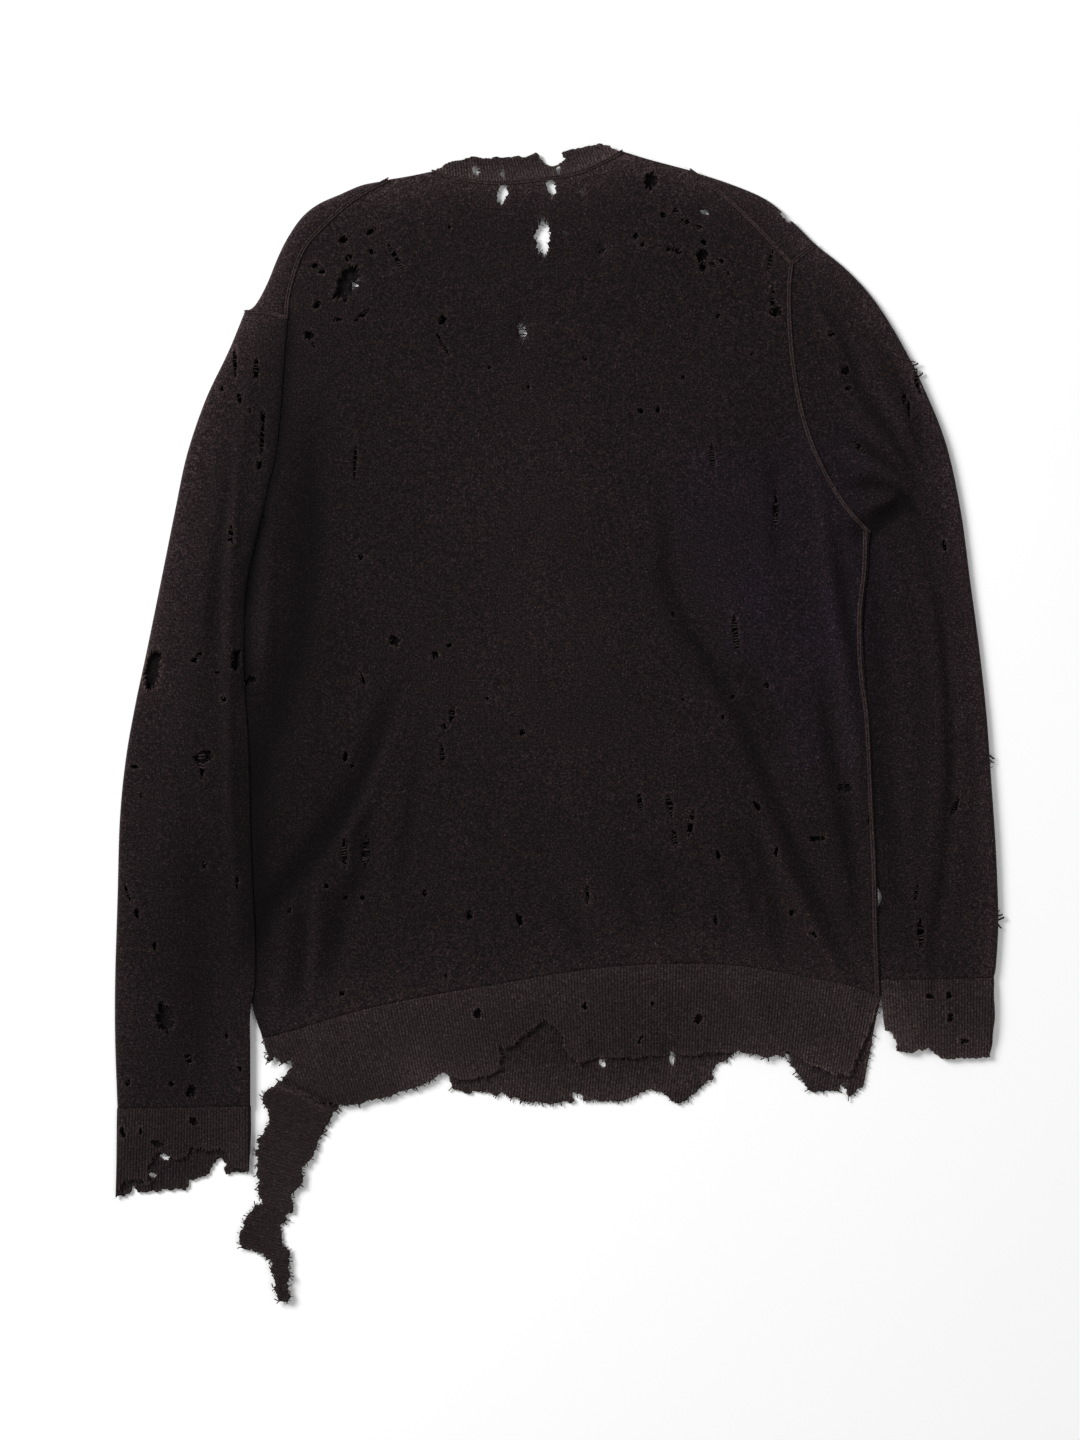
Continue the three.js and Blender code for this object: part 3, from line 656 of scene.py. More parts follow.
def part(outline, holes=(), folds=(), height=upper, lower=False, edges=(), droop=0.0, knit=along_body,
         spacing=CELL):
    """One sheet of jersey. A lower one faces down."""
    flat, faces = cut_sheet(outline, holes, folds, spacing)
    # Depth for the colour: the creases, and painted shadow beside edges that cover this sheet
    depth = np.zeros(len(flat)) if lower else creases(flat) + painted_shadow_beside_edge(flat, folds)
    return part_of(flat, faces, outline, holes, edges, folds, height, droop, lower, torn_reach=2.2,
                   knit=knit(flat), worn=worn(flat, depth), wale=np.zeros(len(flat)))


swatch = part(square)
print("a flat square of jersey:", round(swatch["area"]), "mm2,", len(swatch["points"]), "points")


# %% Meshes and their thickness
def mesh_of(name, parts):
    """A mesh in metres from the parts, joined along the folds that they share."""
    offsets = np.cumsum([0] + [len(p["points"]) for p in parts[:-1]])
    points = np.vstack([p["points"] for p in parts]) * MM
    faces = np.vstack([p["faces"] + offset for p, offset in zip(parts, offsets)])
    mesh = bpy.data.meshes.new(name)
    mesh.from_pydata(points.tolist(), [], faces.tolist())
    for value in ("torn", "worn", "wale"):
        layer = mesh.attributes.new(value, "FLOAT", "POINT")
        layer.data.foreach_set("value", np.concatenate([p[value] for p in parts]).astype(np.float32))
    knit = np.vstack([p["knit"] for p in parts]) * MM
    mesh.uv_layers.new(name="knit").data.foreach_set("uv", knit[faces.ravel()].ravel().astype(np.float32))
    made = bmesh.new()
    made.from_mesh(mesh)
    bmesh.ops.remove_doubles(made, verts=[v for v in made.verts if v.is_boundary], dist=2e-6)
    bmesh.ops.delete(made, geom=[v for v in made.verts if not v.link_faces], context="VERTS")
    made.to_mesh(mesh)
    made.free()
    mesh.shade_smooth()
    return mesh


def place(name, mesh):
    """Puts a new object into the scene, at the origin."""
    thing = bpy.data.objects.new(name, mesh)
    bpy.context.scene.collection.objects.link(thing)
    return thing


def settle(thing):
    """Turns the object with its modifiers into a plain mesh."""
    bpy.context.view_layer.update()
    ready = thing.evaluated_get(bpy.context.evaluated_depsgraph_get())
    mesh = bpy.data.meshes.new_from_object(ready, preserve_all_data_layers=True,
                                           depsgraph=bpy.context.evaluated_depsgraph_get())
    thing.modifiers.clear()
    thing.data = mesh
    mesh.name = thing.name
    return thing


def thicken(thing, wall=WALL, inside_slot=0):
    """Gives the cloth its thickness, on the inside."""
    solid = thing.modifiers.new("wall", "SOLIDIFY")
    solid.thickness = wall * MM
    solid.offset = -1
    solid.material_offset = inside_slot
    return thing


def described(thing):
    """Prints a finished piece's size."""
    low, high = np.array(thing.bound_box).min(0), np.array(thing.bound_box).max(0)
    count = sum(len(p.vertices) - 2 for p in thing.data.polygons)
    print(f"{thing.name}: {count} triangles, {np.round((high - low) / MM).astype(int)} mm, "
          f"z {low[2] / MM:.1f} to {high[2] / MM:.1f}")


print("a wall of", WALL, "mm goes on the inside of every sheet")

# %% [markdown]
# ## The wool
#
# The yarn is a woollen-spun lambswool dyed brown-black: short fibres, so it is dull, a little hairy and
# heathered, with single paler fibres through it. A real stitch is about 1.1 mm wide here, too fine to show
# at this distance, so the stitch pattern is drawn about twice as coarse.
#
# Three sizes of noise run through one colour ramp: the fibres, the heather of the yarn and the slow fading
# of the dye. The wear and the painted shade and light from above multiply the result, and in two soft
# patches the dye has turned purple.
# Every wool material is one function with its colours as arguments, since they differ in little else. Sheen
# is set on the shader's own sockets.

# %% Colours and nodes
def linear(colour):
    """An sRGB hex colour as linear RGBA."""
    parts = [int(colour[i : i + 2], 16) / 255 for i in (1, 3, 5)]
    return (*[c / 12.92 if c <= 0.04045 else ((c + 0.055) / 1.055) ** 2.4 for c in parts], 1)


def add_node(tree, kind, settings=None, inputs=None):
    """Adds a node with its settings. An input is given by name or number: a socket is linked, a value is set."""
    node = tree.nodes.new(kind)
    for name, value in (settings or {}).items():
        setattr(node, name, value)
    for name, value in (inputs or {}).items():
        if isinstance(value, bpy.types.NodeSocket):
            tree.links.new(value, node.inputs[name])
        else:
            node.inputs[name].default_value = value
    return node


print("brown-black wool in linear light:", tuple(round(c, 4) for c in linear("#1f1a1b")))


# %% The wool materials
FIBRE = 0.9  # mm between the fibres that show as grain
STITCH = 2.2  # mm, a wale drawn twice as coarse as the real 1.1 mm
COURSE = 1.7  # mm, a row of stitches drawn twice as coarse
NOISE_PER_FIBRE = 1.6  # a noise of scale 1 repeats about this often
HEATHER_SCALE, FADING_SCALE = 260.0, 14.0  # the yarn's mottle, some 4 mm, and the dye's, some 70 mm
GRAIN, HEATHER, FADING = 1.6, 0.2, 0.12  # shares of the three sizes of variation in the colour
BROKEN = 0.10  # how far a torn edge moves up the ramp
MIDDLE = 0.5 - (GRAIN + HEATHER + FADING) / 2  # brings their mean to the middle of the ramp
# Middle and reach in m, strength
TINT_PATCHES = [((0.195, 0.165, 0), 0.170, 1.5), ((0.225, 0.02, 0), 0.135, 0.9)]


def tinted(tree, at, fading, colour, tint):
    """The colour with soft patches where the dye has turned purple."""
    for middle, reach, strength in TINT_PATCHES:
        away = add_node(tree, "ShaderNodeVectorMath", {"operation": "DISTANCE"}, {0: at, 1: middle})
        share = add_node(tree, "ShaderNodeMapRange", {"interpolation_type": "SMOOTHSTEP"}, {
            "Value": away.outputs["Value"], "From Min": reach, "From Max": 0.02, "To Min": 0.0,
            "To Max": strength})
        share = add_node(tree, "ShaderNodeMath", {"operation": "MULTIPLY", "use_clamp": True},
                         {0: share.outputs[0], 1: fading})
        pushed = add_node(tree, "ShaderNodeVectorMath", {"operation": "MULTIPLY"}, {0: colour, 1: tint})
        colour = add_node(tree, "ShaderNodeMix", {"data_type": "RGBA"},
                          {"Factor": share.outputs[0], 6: colour, 7: pushed.outputs[0]}).outputs[2]
    return colour


def wool(name, deep, face, pale, speck="#4a403d", tint=None, worn=True, stitch_bump=0.35, sheen=0.12):
    """Dull hairy wool: its colours in the troughs, on the face, where it is rubbed, and in a few pale fibres."""
    material = bpy.data.materials.new(name)
    material.use_nodes = True
    tree = material.node_tree
    tree.nodes.clear()
    at = add_node(tree, "ShaderNodeTexCoord").outputs["Object"]
    knit = add_node(tree, "ShaderNodeUVMap", {"uv_map": "knit"})
    torn = add_node(tree, "ShaderNodeAttribute", {"attribute_name": "torn"})
    grain, heather, fading = (
        add_node(tree, "ShaderNodeTexNoise", inputs={"Vector": at, "Scale": scale, "Detail": detail,
                                                     "Roughness": rough})
        for scale, detail, rough in ((1000 / FIBRE / NOISE_PER_FIBRE, 2.0, 0.7), (HEATHER_SCALE, 3.0, 0.65),
                                     (FADING_SCALE, 3.0, 0.55)))
    stretched = add_node(tree, "ShaderNodeMapping", inputs={"Vector": knit.outputs["UV"],
                                                            "Scale": (1000 / STITCH, 1000 / COURSE, 1)})
    stitches = add_node(tree, "ShaderNodeTexVoronoi", {"voronoi_dimensions": "2D"},
                        {"Vector": stretched.outputs["Vector"], "Scale": 1.0, "Randomness": 0.45})
    mixed = MIDDLE
    for source, share in ((grain, GRAIN), (heather, HEATHER), (fading, FADING), (torn, BROKEN)):
        mixed = add_node(tree, "ShaderNodeMath", {"operation": "MULTIPLY_ADD"},
                         {0: source.outputs["Fac"], 1: share, 2: mixed}).outputs[0]
    colours = add_node(tree, "ShaderNodeValToRGB", inputs={"Fac": mixed})
    ramp = colours.color_ramp
    ramp.elements[0].position, ramp.elements[0].color = 0.22, linear(deep)
    ramp.elements[1].position, ramp.elements[1].color = 0.5, linear(face)
    for position, shade in ((0.78, pale), (0.95, speck)):
        ramp.elements.new(position).color = linear(shade)
    colour = colours.outputs["Color"]
    # The points carry the wear and the painted shade and light, which multiply the colour
    if worn:
        wear_and_light = add_node(tree, "ShaderNodeAttribute", {"attribute_name": "worn"})
        colour = add_node(tree, "ShaderNodeVectorMath", {"operation": "SCALE"},
                          {0: colour, "Scale": wear_and_light.outputs["Fac"]}).outputs["Vector"]
    if tint:
        colour = tinted(tree, at, fading.outputs["Fac"], colour, tint)
    relief = add_node(tree, "ShaderNodeMath", {"operation": "MULTIPLY_ADD"},
                      {0: stitches.outputs["Distance"], 1: -0.8, 2: grain.outputs["Fac"]})
    bump = add_node(tree, "ShaderNodeBump", inputs={"Height": relief.outputs[0], "Strength": stitch_bump,
                                                    "Distance": 0.0012})
    shader = add_node(tree, "ShaderNodeBsdfPrincipled", inputs={
        "Base Color": colour, "Normal": bump.outputs[0], "Roughness": 0.95, "Specular IOR Level": 0.08,
        "Sheen Weight": sheen, "Sheen Roughness": 0.55, "Sheen Tint": linear("#8d7c82")})
    add_node(tree, "ShaderNodeOutputMaterial", inputs={"Surface": shader.outputs[0]})
    return material


# %% The five wools
# Brown-black lambswool in plain jersey, rubbed and faded: nearly black, with a warm grain.
jersey_wool = wool("faded_lambswool_jersey", "#060405", "#120d0e", "#281f20", tint=(1.0, 1.0, 1.48))
# The inside of the same jersey, which has seen no light: darker and hairier.
inner_wool = wool("unfaded_lambswool_inside", "#080607", "#0e0b0c", "#191515", worn=False, sheen=0.05)
# The same yarn in one-by-one rib, which stands up and rubs paler.
rib_wool = wool("rubbed_lambswool_rib", "#0d090a", "#1b1516", "#2e2625", stitch_bump=0.2)
# Linked seams, where a doubled row of stitches takes most of the rubbing.
seam_wool = wool("rubbed_lambswool_seam", "#191415", "#2a2122", "#463a39", worn=False, stitch_bump=0.25,
                 sheen=0.18)
# Broken ends of yarn, untwisted and dusty.
loose_wool = wool("loose_lambswool_yarn", "#120e0f", "#1f1919", "#3c3230", worn=False, stitch_bump=0.1,
                  sheen=0.2)
print("wool materials:", [m.name for m in bpy.data.materials if "lambswool" in m.name])

# %% [markdown]
# ## Back and front
#
# The back is one sheet at the upper height, cut with its tears, its side edges curling down to the front's.
# The front lies beneath, and beyond each shoulder seam it comes up over the fold as a wedge that meets the
# back.

# %% The back
def settled(thing, parts, flat, nodes):
    """A finished piece of cloth, its cut in metres, its area, and the solids that it stands for."""
    described(settle(thing))
    return thing, flat, sum(p["area"] for p in parts) * MM**2, nodes


def jersey_piece(name, parts, flat, nodes):
    """A piece of jersey with its outside and its inside."""
    mesh = mesh_of(name, parts)
    mesh.materials.append(jersey_wool)
    mesh.materials.append(inner_wool)
    return settled(thicken(place(name, mesh), inside_slot=1), parts, flat, nodes)


back_outline = closed(back_neck, right_shoulder_top, right_shoulder_seam, right_armhole, right_side,
                      hem_line,
                      left_side, left_armhole, left_shoulder_seam, left_shoulder_top)
back_holes = tears(BACK_TEARS, 100)
side_folds = [fold(right_side, OVER), fold(left_side, UNDER, 13)]
back_folds = [*side_folds, fold(left_fold, BESIDE, 14)]
back = jersey_piece("back_of_body", [part(back_outline, back_holes, back_folds, spacing=3.7)], (0.54, 0.76),
                    ["back_panel"])

# %% The front
front_outline = closed(front_neck[::-1], right_shoulder_top, right_shoulder_fold, right_armhole_top,
                       right_armhole,
                       right_side, hem_line, left_side, left_armhole, left_armhole_top, left_shoulder_fold,
                       left_shoulder_top)
right_flap = closed(right_shoulder_fold, right_armhole_top, right_shoulder_seam[::-1])
left_flap = closed(left_shoulder_seam, left_shoulder_fold[::-1], left_armhole_top[::-1])
front_folds = [*side_folds, fold(right_shoulder_fold), fold(left_shoulder_fold)]


def flat_down(points):
    """The outer face of the lower layer, a little off the surface."""
    x, y = points.T
    return REST + 0.25 * np.sin(x / 43) * np.sin(y / 57)


shoulder_hole = tears(SHOULDER_TEARS, 300)
front = jersey_piece("front_of_body", [
    part(front_outline, tears(FRONT_TEARS, 200) + shoulder_hole, front_folds, flat_down, lower=True),
    part(right_flap, shoulder_hole, [fold(right_shoulder_fold)]),
    part(left_flap, [], [fold(left_shoulder_fold)]),
], (0.56, 0.76), ["front_panel"])

# %% [markdown]
# ## Sleeves
#
# A sleeve is a tube pressed flat: an upper and a lower sheet that share both folds. The left one lies with
# its inner fold just on top of the body's edge, so that fold meets higher up.

# %% The sleeves
left_outline = closed(left_fold[:1], left_armhole_top, left_outer, left_cuff_line, left_fold[::-1])
right_outline = closed(right_armhole_top, right_armhole, right_fold, right_cuff_line[::-1],
                       right_outer[::-1])
left_folds = [fold(left_outer), fold(left_fold, OVER)]
right_folds = [fold(right_outer), fold(right_fold, UNDER, 13)]
left_knit, right_knit = along(left_outer, left_inner), along(right_outer, right_inner)
left_holes = tears(LEFT_SLEEVE_TEARS, 400)
right_holes = tears(RIGHT_SLEEVE_TEARS, 500)
left_sleeve = jersey_piece("left_sleeve_tube", [
    part(left_outline, left_holes, left_folds, knit=left_knit, spacing=3.3),
    part(left_outline, [], left_folds, flat_down, lower=True, knit=left_knit),
], (0.24, 0.72), ["left_sleeve"])
right_sleeve = jersey_piece("right_sleeve_tube", [
    part(right_outline, right_holes, right_folds, knit=right_knit, spacing=2.8),
    part(right_outline, [], right_folds, flat_down, lower=True, knit=right_knit),
], (0.26, 0.68), ["right_sleeve"])

# %% [markdown]
# ## Rib
#
# One-by-one rib is a row of ridges, here 2.5 mm apart, that runs from a seam to a free edge. The points are
# laid out along the ribs, four columns to a rib, so that each rib stays whole where the piece fans out or
# leans. The cutting is done in the rib's own grid, where every cell is a square, and the result is carried
# back to its place.
#
# The relief itself comes from Geometry Nodes: each point has a count of ribs, `wale`, and a cosine of it
# moves the point along its normal.

# %% Points along the ribs
SPARE = 60  # columns added past both ends, so that a torn edge may wander over them


def run_on(line, count):
    """The line run straight on past both ends by some more of its steps."""
    more = np.arange(1, count + 1)[:, None]
    return np.vstack([line[0] - more[::-1] * (line[1] - line[0]), line,
                      line[-1] + more * (line[-1] - line[-2])])


RIB_STRAY = 4  # rows added above and below, for the same
CLEAR_OF_RIB_RIM = 0.4  # of a cell; a grid point closer to an edge is left out
NEWTON_STEPS = 6


def rib_part(top, bottom, outline, holes=(), folds=(), height=upper, lower=False, edges=(), droop=0.0):
    """One sheet of rib. Its ribs run from top to bottom, which are lines in the same direction."""
    columns = RIB_STEPS * round((measured(top)[-1] + measured(bottom)[-1]) / 2 / RIB_PITCH)
    rows = max(3, round(np.linalg.norm(even(top, 12) - even(bottom, 12), axis=1).mean() / ROW))
    top, bottom = run_on(even(top, columns), SPARE), run_on(even(bottom, columns), SPARE)
    count = np.arange(-SPARE, columns + SPARE + 1)

    def spread(grid):
        """From the grid of columns and rows to the place on the cloth."""
        s, t = grid[:, 0], (grid[:, 1] / rows)[:, None]
        ends = [np.column_stack([np.interp(s, count, line[:, i]) for i in (0, 1)]) for line in (top, bottom)]
        return ends[0] * (1 - t) + ends[1] * t

    cells = np.array([(s, t) for t in range(-RIB_STRAY, rows + RIB_STRAY + 1) for s in count], float)
    placed = spread(cells)
    finder = tree_of(placed)

    def gridded(points):
        """The place of each point in the grid, by a few Newton steps from the nearest cell."""
        grid = cells[[finder.find((x, y, 0))[1] for x, y in points]].copy()
        for _ in range(NEWTON_STEPS):
            miss = points - spread(grid)
            across = spread(grid + (0.5, 0)) - spread(grid - (0.5, 0))
            down = spread(grid + (0, 0.5)) - spread(grid - (0, 0.5))
            scale = across[:, 0] * down[:, 1] - across[:, 1] * down[:, 0]
            scale = np.where(np.abs(scale) < 1e-6, 1e-6, scale)
            grid[:, 0] += (miss[:, 0] * down[:, 1] - miss[:, 1] * down[:, 0]) / scale
            grid[:, 1] += (across[:, 0] * miss[:, 1] - across[:, 1] * miss[:, 0]) / scale
        return grid

    outline = stepped(np.vstack([outline, outline[:1]]), TORN_STEP / 2)[:-1]
    ring, rings = gridded(outline), [gridded(hole) for hole in holes]
    free = cells[inside(placed, outline) & ~in_any(placed, holes)]
    grid, faces = triangulated(ring, rings, free[nearest(free, [ring, *rings]) > CLEAR_OF_RIB_RIM])
    flat = spread(grid)
    a, b, c = flat[faces[:, 0]], flat[faces[:, 1]], flat[faces[:, 2]]
    turned = (b - a)[:, 0] * (c - a)[:, 1] - (b - a)[:, 1] * (c - a)[:, 0] < 0
    faces[turned] = faces[turned][:, ::-1]
    wale = grid[:, 0] / RIB_STEPS
    depth = np.zeros(len(flat)) if lower else creases(flat)
    # The ribs' colour: painted shade in the grooves, and paler crests, partly wear and partly painted highlight
    return part_of(flat, faces, outline, holes, edges, folds, height, droop, lower, torn_reach=2.0,
                   knit=np.column_stack([wale * RIB_PITCH, grid[:, 1] * ROW]), wale=wale,
                   worn=worn(flat, depth) * (1 + RIB_CONTRAST * np.cos(2 * math.pi * wale)))


print("a rib of", RIB_PITCH, "mm has", RIB_STEPS, "columns of points")

# %% Geometry Nodes, built in the script
def new_group(name, **inputs):
    """A Geometry Nodes tree with its named inputs, as (tree, its input node)."""
    group = bpy.data.node_groups.new(name, "GeometryNodeTree")
    for title, kind in {"Geometry": "Geometry", **inputs}.items():
        group.interface.new_socket(title, in_out="INPUT", socket_type="NodeSocket" + kind)
    group.interface.new_socket("Geometry", in_out="OUTPUT", socket_type="NodeSocketGeometry")
    return group, group.nodes.new("NodeGroupInput")


def finish_group(group, shape, material):
    """Ends a tree: instances made real, the material set."""
    real = add_node(group, "GeometryNodeRealizeInstances", inputs={"Geometry": shape})
    dyed = add_node(group, "GeometryNodeSetMaterial",
                    inputs={"Geometry": real.outputs[0], "Material": material})
    add_node(group, "NodeGroupOutput", inputs={"Geometry": dyed.outputs[0]})


def with_nodes(thing, group, **values):
    """Adds a tree to an object, its inputs set by the identifier that each name stands for."""
    modifier = thing.modifiers.new(group.name, "NODES")
    modifier.node_group = group
    names = {item.name: item.identifier for item in group.interface.items_tree if item.in_out == "INPUT"}
    for name, value in values.items():
        modifier[names[name]] = value
    return thing


# %% The relief of the ribs
rib_relief, given = new_group("rib_relief", Height="Float", Material="Material")
wales = add_node(rib_relief, "GeometryNodeInputNamedAttribute", {"data_type": "FLOAT"}, {"Name": "wale"})
turns = add_node(rib_relief, "ShaderNodeMath", {"operation": "MULTIPLY"},
                 {0: wales.outputs[0], 1: 2 * math.pi})
wave = add_node(rib_relief, "ShaderNodeMath", {"operation": "COSINE"}, {0: turns.outputs[0]})
depth = add_node(rib_relief, "ShaderNodeMath", {"operation": "MULTIPLY"},
                 {0: wave.outputs[0], 1: given.outputs["Height"]})
normal = add_node(rib_relief, "GeometryNodeInputNormal")
move = add_node(rib_relief, "ShaderNodeVectorMath", {"operation": "SCALE"},
                {0: normal.outputs[0], "Scale": depth.outputs[0]})
raised = add_node(rib_relief, "GeometryNodeSetPosition", inputs={"Geometry": given.outputs["Geometry"],
                                                                "Offset": move.outputs[0]})
finish_group(rib_relief, raised.outputs[0], given.outputs["Material"])


def rib_piece(name, parts, flat, nodes):
    """A piece of rib, its wall a little thinner than the jersey's."""
    thing = with_nodes(place(name, mesh_of(name, parts)), rib_relief, Height=RIB_HEIGHT / 2 * MM,
                       Material=rib_wool)
    return settled(thicken(thing, WALL * 0.9), parts, flat, nodes)


print("rib relief has", len(rib_relief.nodes), "nodes")

# %% [markdown]
# ### The hem
#
# The hem rib has come away from much of the body. The back's hem is torn off along a ragged line, the
# front's shows below it, and at the left a long strip of the front's rib hangs free and has turned, so that
# its ribs run across it.

# %% The hem rib, front and back
back_hem_edge = np.vstack([torn(
    (-252, -268), (-246, -287), (-240, -285), (-235, -289), (-223, -285), (-226, -294), (-235, -303),
    (-220, -314), (-201, -322), (-182, -327), (-162, -322), (-142, -317), (-118, -309), (-98, -298),
    (-84, -304), (-69, -302), (-55, -299), (-49, -287), (-51, -276), (-37, -273), (-27, -263), (-12, -253),
    (-3, -258), (3, -269), (6, -281), (15, -289), (35, -286), (69, -284), (111, -283), (139, -281),
    (150, -279), (178, -285), (196, -281), (210, -289), (229, -297), (247, -302), (252, -286), seed=21),
    smooth((252, -286), (263, -262), (273, -232))[1:]])
front_hem_edge = np.vstack([torn(
    (-97, -234), (-91, -270), (-95, -303), (-91, -311), (-69, -315), (-48, -317), (-31, -321), (-12, -325),
    (11, -322), (12, -315), (18, -314), (21, -322), (52, -322), (77, -312), (88, -315), (96, -323),
    (108, -322), (118, -314), (129, -303), (132, -293), (142, -286), (156, -275), (190, -275), (198, -291),
    (205, -302), (214, -314), (237, -313), (240, -306), (246, -318), (252, -316), (258, -310), seed=22),
    smooth((258, -310), (262, -287), (268, -260), (273, -232))[1:]])
hem_guide = smooth((254, -330), (130, -335), (0, -330), (-128, -335), (-221, -352))
hem_through = tears(HEM_THROUGH, 700)
back_hem_holes = tears(BACK_HEM_TEARS, 720) + hem_through
back_hem = rib_piece("back_hem_band", [
    rib_part(hem_line, hem_guide, closed(hem_line[::-1], back_hem_edge[::-1]), back_hem_holes,
             edges=[back_hem_edge], droop=1.8)
], (0.56, 0.11), ["back_hem_rib"])
front_hem_top = hem_line[hem_line[:, 0] > -95]
front_hem_guide = hem_guide[hem_guide[:, 0] > -100]
front_hem = rib_piece("front_hem_band", [
    rib_part(front_hem_top, front_hem_guide, closed(front_hem_top[::-1], front_hem_edge[::-1]), hem_through,
             height=flat_down, lower=True, edges=[front_hem_edge])
], (0.38, 0.12), ["front_hem_rib"])

# %% The strip that hangs free
strip_edge = torn(
    (-218, -268), (-220, -287), (-235, -304), (-247, -311), (-252, -320), (-246, -332), (-247, -343),
    (-256, -355), (-257, -372), (-254, -403), (-252, -409), (-258, -410), (-266, -422), (-270, -434),
    (-271, -447), (-263, -449), (-251, -452), (-244, -458), (-242, -474), (-239, -492), (-230, -492),
    (-230, -449), (-235, -443), (-236, -428), (-226, -415), (-227, -403), (-219, -391), (-218, -379),
    (-209, -370), (-205, -358), (-198, -344), (-191, -332), (-178, -321), (-167, -287), (-167, -258),
    seed=23)
strip_spine = smooth((-195, -245), (-205, -310), (-222, -350), (-232, -400), (-245, -440), (-238, -500))
SLANT = 18  # mm that the ribs of the strip drop from its middle to each guide line
STRIP_CREASE = smooth((-242, -309), (-226, -315), (-210, -323), (-194, -333))


def strip_height(points):
    """The strip lies on the surface with a wave along it, and passes under the hem at its top."""
    x, y = points.T
    wave = 1.4 + 1.1 * np.sin(y / 17 + x / 31) + 0.6 * np.sin(x / 11 - y / 29)
    crease = distance(points, STRIP_CREASE)
    return REST + np.clip((-300 - y) / 30, 0, 1) * wave + 2.4 * np.exp(-((crease / 3.5) ** 2))


strip = rib_piece("torn_strip_of_hem", [
    rib_part(shifted(strip_spine, -55) + (0, SLANT), shifted(strip_spine, 55) - (0, SLANT),
             closed(strip_edge),
             height=strip_height, lower=True, edges=[strip_edge])
], (0.11, 0.24), ["torn_hem_strip"])

# %% The cuffs
left_cuff_outer = smooth((-375, -328), (-376, -365), (-377, -404))
left_cuff_inner = smooth((-262, -326), (-262, -348), (-263, -382))
left_cuff_top_edge = torn(
    (-377, -404), (-372, -394), (-368, -388), (-358, -389), (-348, -392), (-349, -375), (-345, -370),
    (-339, -364), (-329, -369), (-320, -372), (-314, -369), (-312, -363), (-305, -361), (-298, -365),
    (-293, -363), (-288, -361), (-283, -365), (-280, -372), (-275, -377), (-268, -378), (-263, -382),
    seed=31)
left_cuff_low_edge = torn(
    (-377, -404), (-366, -400), (-361, -393), (-358, -399), (-348, -399), (-317, -397), (-314, -389),
    (-303, -388), (-296, -382), (-294, -375), (-287, -371), (-281, -375), (-283, -383), (-263, -382),
    seed=32)
left_cuff_guide = smooth((-379, -412), (-320, -408), (-262, -400))
cuff_through = tears(LEFT_CUFF_THROUGH, 820)
left_cuff_folds = [fold(left_cuff_outer), fold(left_cuff_inner)]
left_cuff = rib_piece("left_cuff_band", [
    rib_part(left_cuff_line, left_cuff_guide,
             closed(left_cuff_line, left_cuff_inner, left_cuff_top_edge[::-1], left_cuff_outer[::-1]),
             tears(LEFT_CUFF_TEARS, 800), left_cuff_folds, edges=[left_cuff_top_edge], droop=2.2),
    rib_part(left_cuff_line, left_cuff_guide,
             closed(left_cuff_line, left_cuff_inner, left_cuff_low_edge[::-1], left_cuff_outer[::-1]),
             cuff_through, left_cuff_folds, flat_down, lower=True, edges=[left_cuff_low_edge]),
], (0.23, 0.08), ["left_cuff_rib"])

right_cuff_outer = smooth((369, -217), (370, -252), (366, -284))
right_cuff_inner = smooth((271, -219), (274, -239), (277, -262))
right_cuff_edge = torn((366, -284), (343, -286), (323, -286), (314, -275), (301, -281), (288, -279),
                       (284, -264), (277, -262), seed=33)
right_cuff_guide = smooth((367, -292), (323, -296), (276, -292))
right_cuff_outline = closed(right_cuff_line, right_cuff_inner, right_cuff_edge[::-1], right_cuff_outer[::-1])
right_cuff_folds = [fold(right_cuff_outer), fold(right_cuff_inner)]
right_cuff = rib_piece("right_cuff_band", [
    rib_part(right_cuff_line, right_cuff_guide, right_cuff_outline, tears(RIGHT_CUFF_TEARS, 830),
             right_cuff_folds,
             edges=[right_cuff_edge], droop=1.6),
    rib_part(right_cuff_line, right_cuff_guide, right_cuff_outline, [], right_cuff_folds, flat_down,
             lower=True,
             edges=[right_cuff_edge]),
], (0.19, 0.08), ["right_cuff_rib"])

# %% The neckband
neck_back_edge = torn((54, 484), (33, 491), (18, 487), (3, 485), (6, 479), (-1, 473), (-8, 472), (-14, 475),
                      (-19, 484), (-29, 480), (-50, 479), (-74, 479), (-91, 476), (-108, 467),
                      seed=41, depth=0.5)
neck_front_edge = smooth((-91, 470), (-82, 437), (-65, 405), (-45, 388), (-20, 382), (3, 387), (21, 405),
                         (33, 437), (38, 480))
neck_guide = shifted(smooth((-112, 464), (-84, 461), (-50, 458), (-16, 461), (14, 466), (35, 474),
                            (54, 484)), 24)
neckband = rib_piece("neckband", [
    rib_part(back_neck, neck_guide, closed(back_neck, neck_back_edge), tears(NECKBAND_TEARS, 900),
             edges=[neck_back_edge], droop=0.6),
    rib_part(front_neck[::-1], neck_front_edge, closed(front_neck, neck_front_edge[[0]], neck_front_edge),
             height=flat_down, lower=True),
], (0.55, 0.021), ["neckband_rib"])

# %% [markdown]
# ## Linked seams
#
# A knitted panel isn't sewn with cloth turned under: its edge stitches are linked to the next panel's, loop
# by loop, and the join stands up on the outside as a narrow double cord. Each is a low swept ridge, and
# Geometry Nodes lays a stitch every 2 mm along both of its crests.

# %% Ridges and their stitches
RIDGE_PROFILE = [(-1.9, -0.9), (-1.7, 0.2), (-1.05, 0.85), (0, 0.25), (1.05, 0.85), (1.7, 0.2), (1.9, -0.9)]
CRESTS = (2, 4)  # the places in the profile that stitches lie along
RIDGE_STEP = 1.4  # mm between sections along the seam


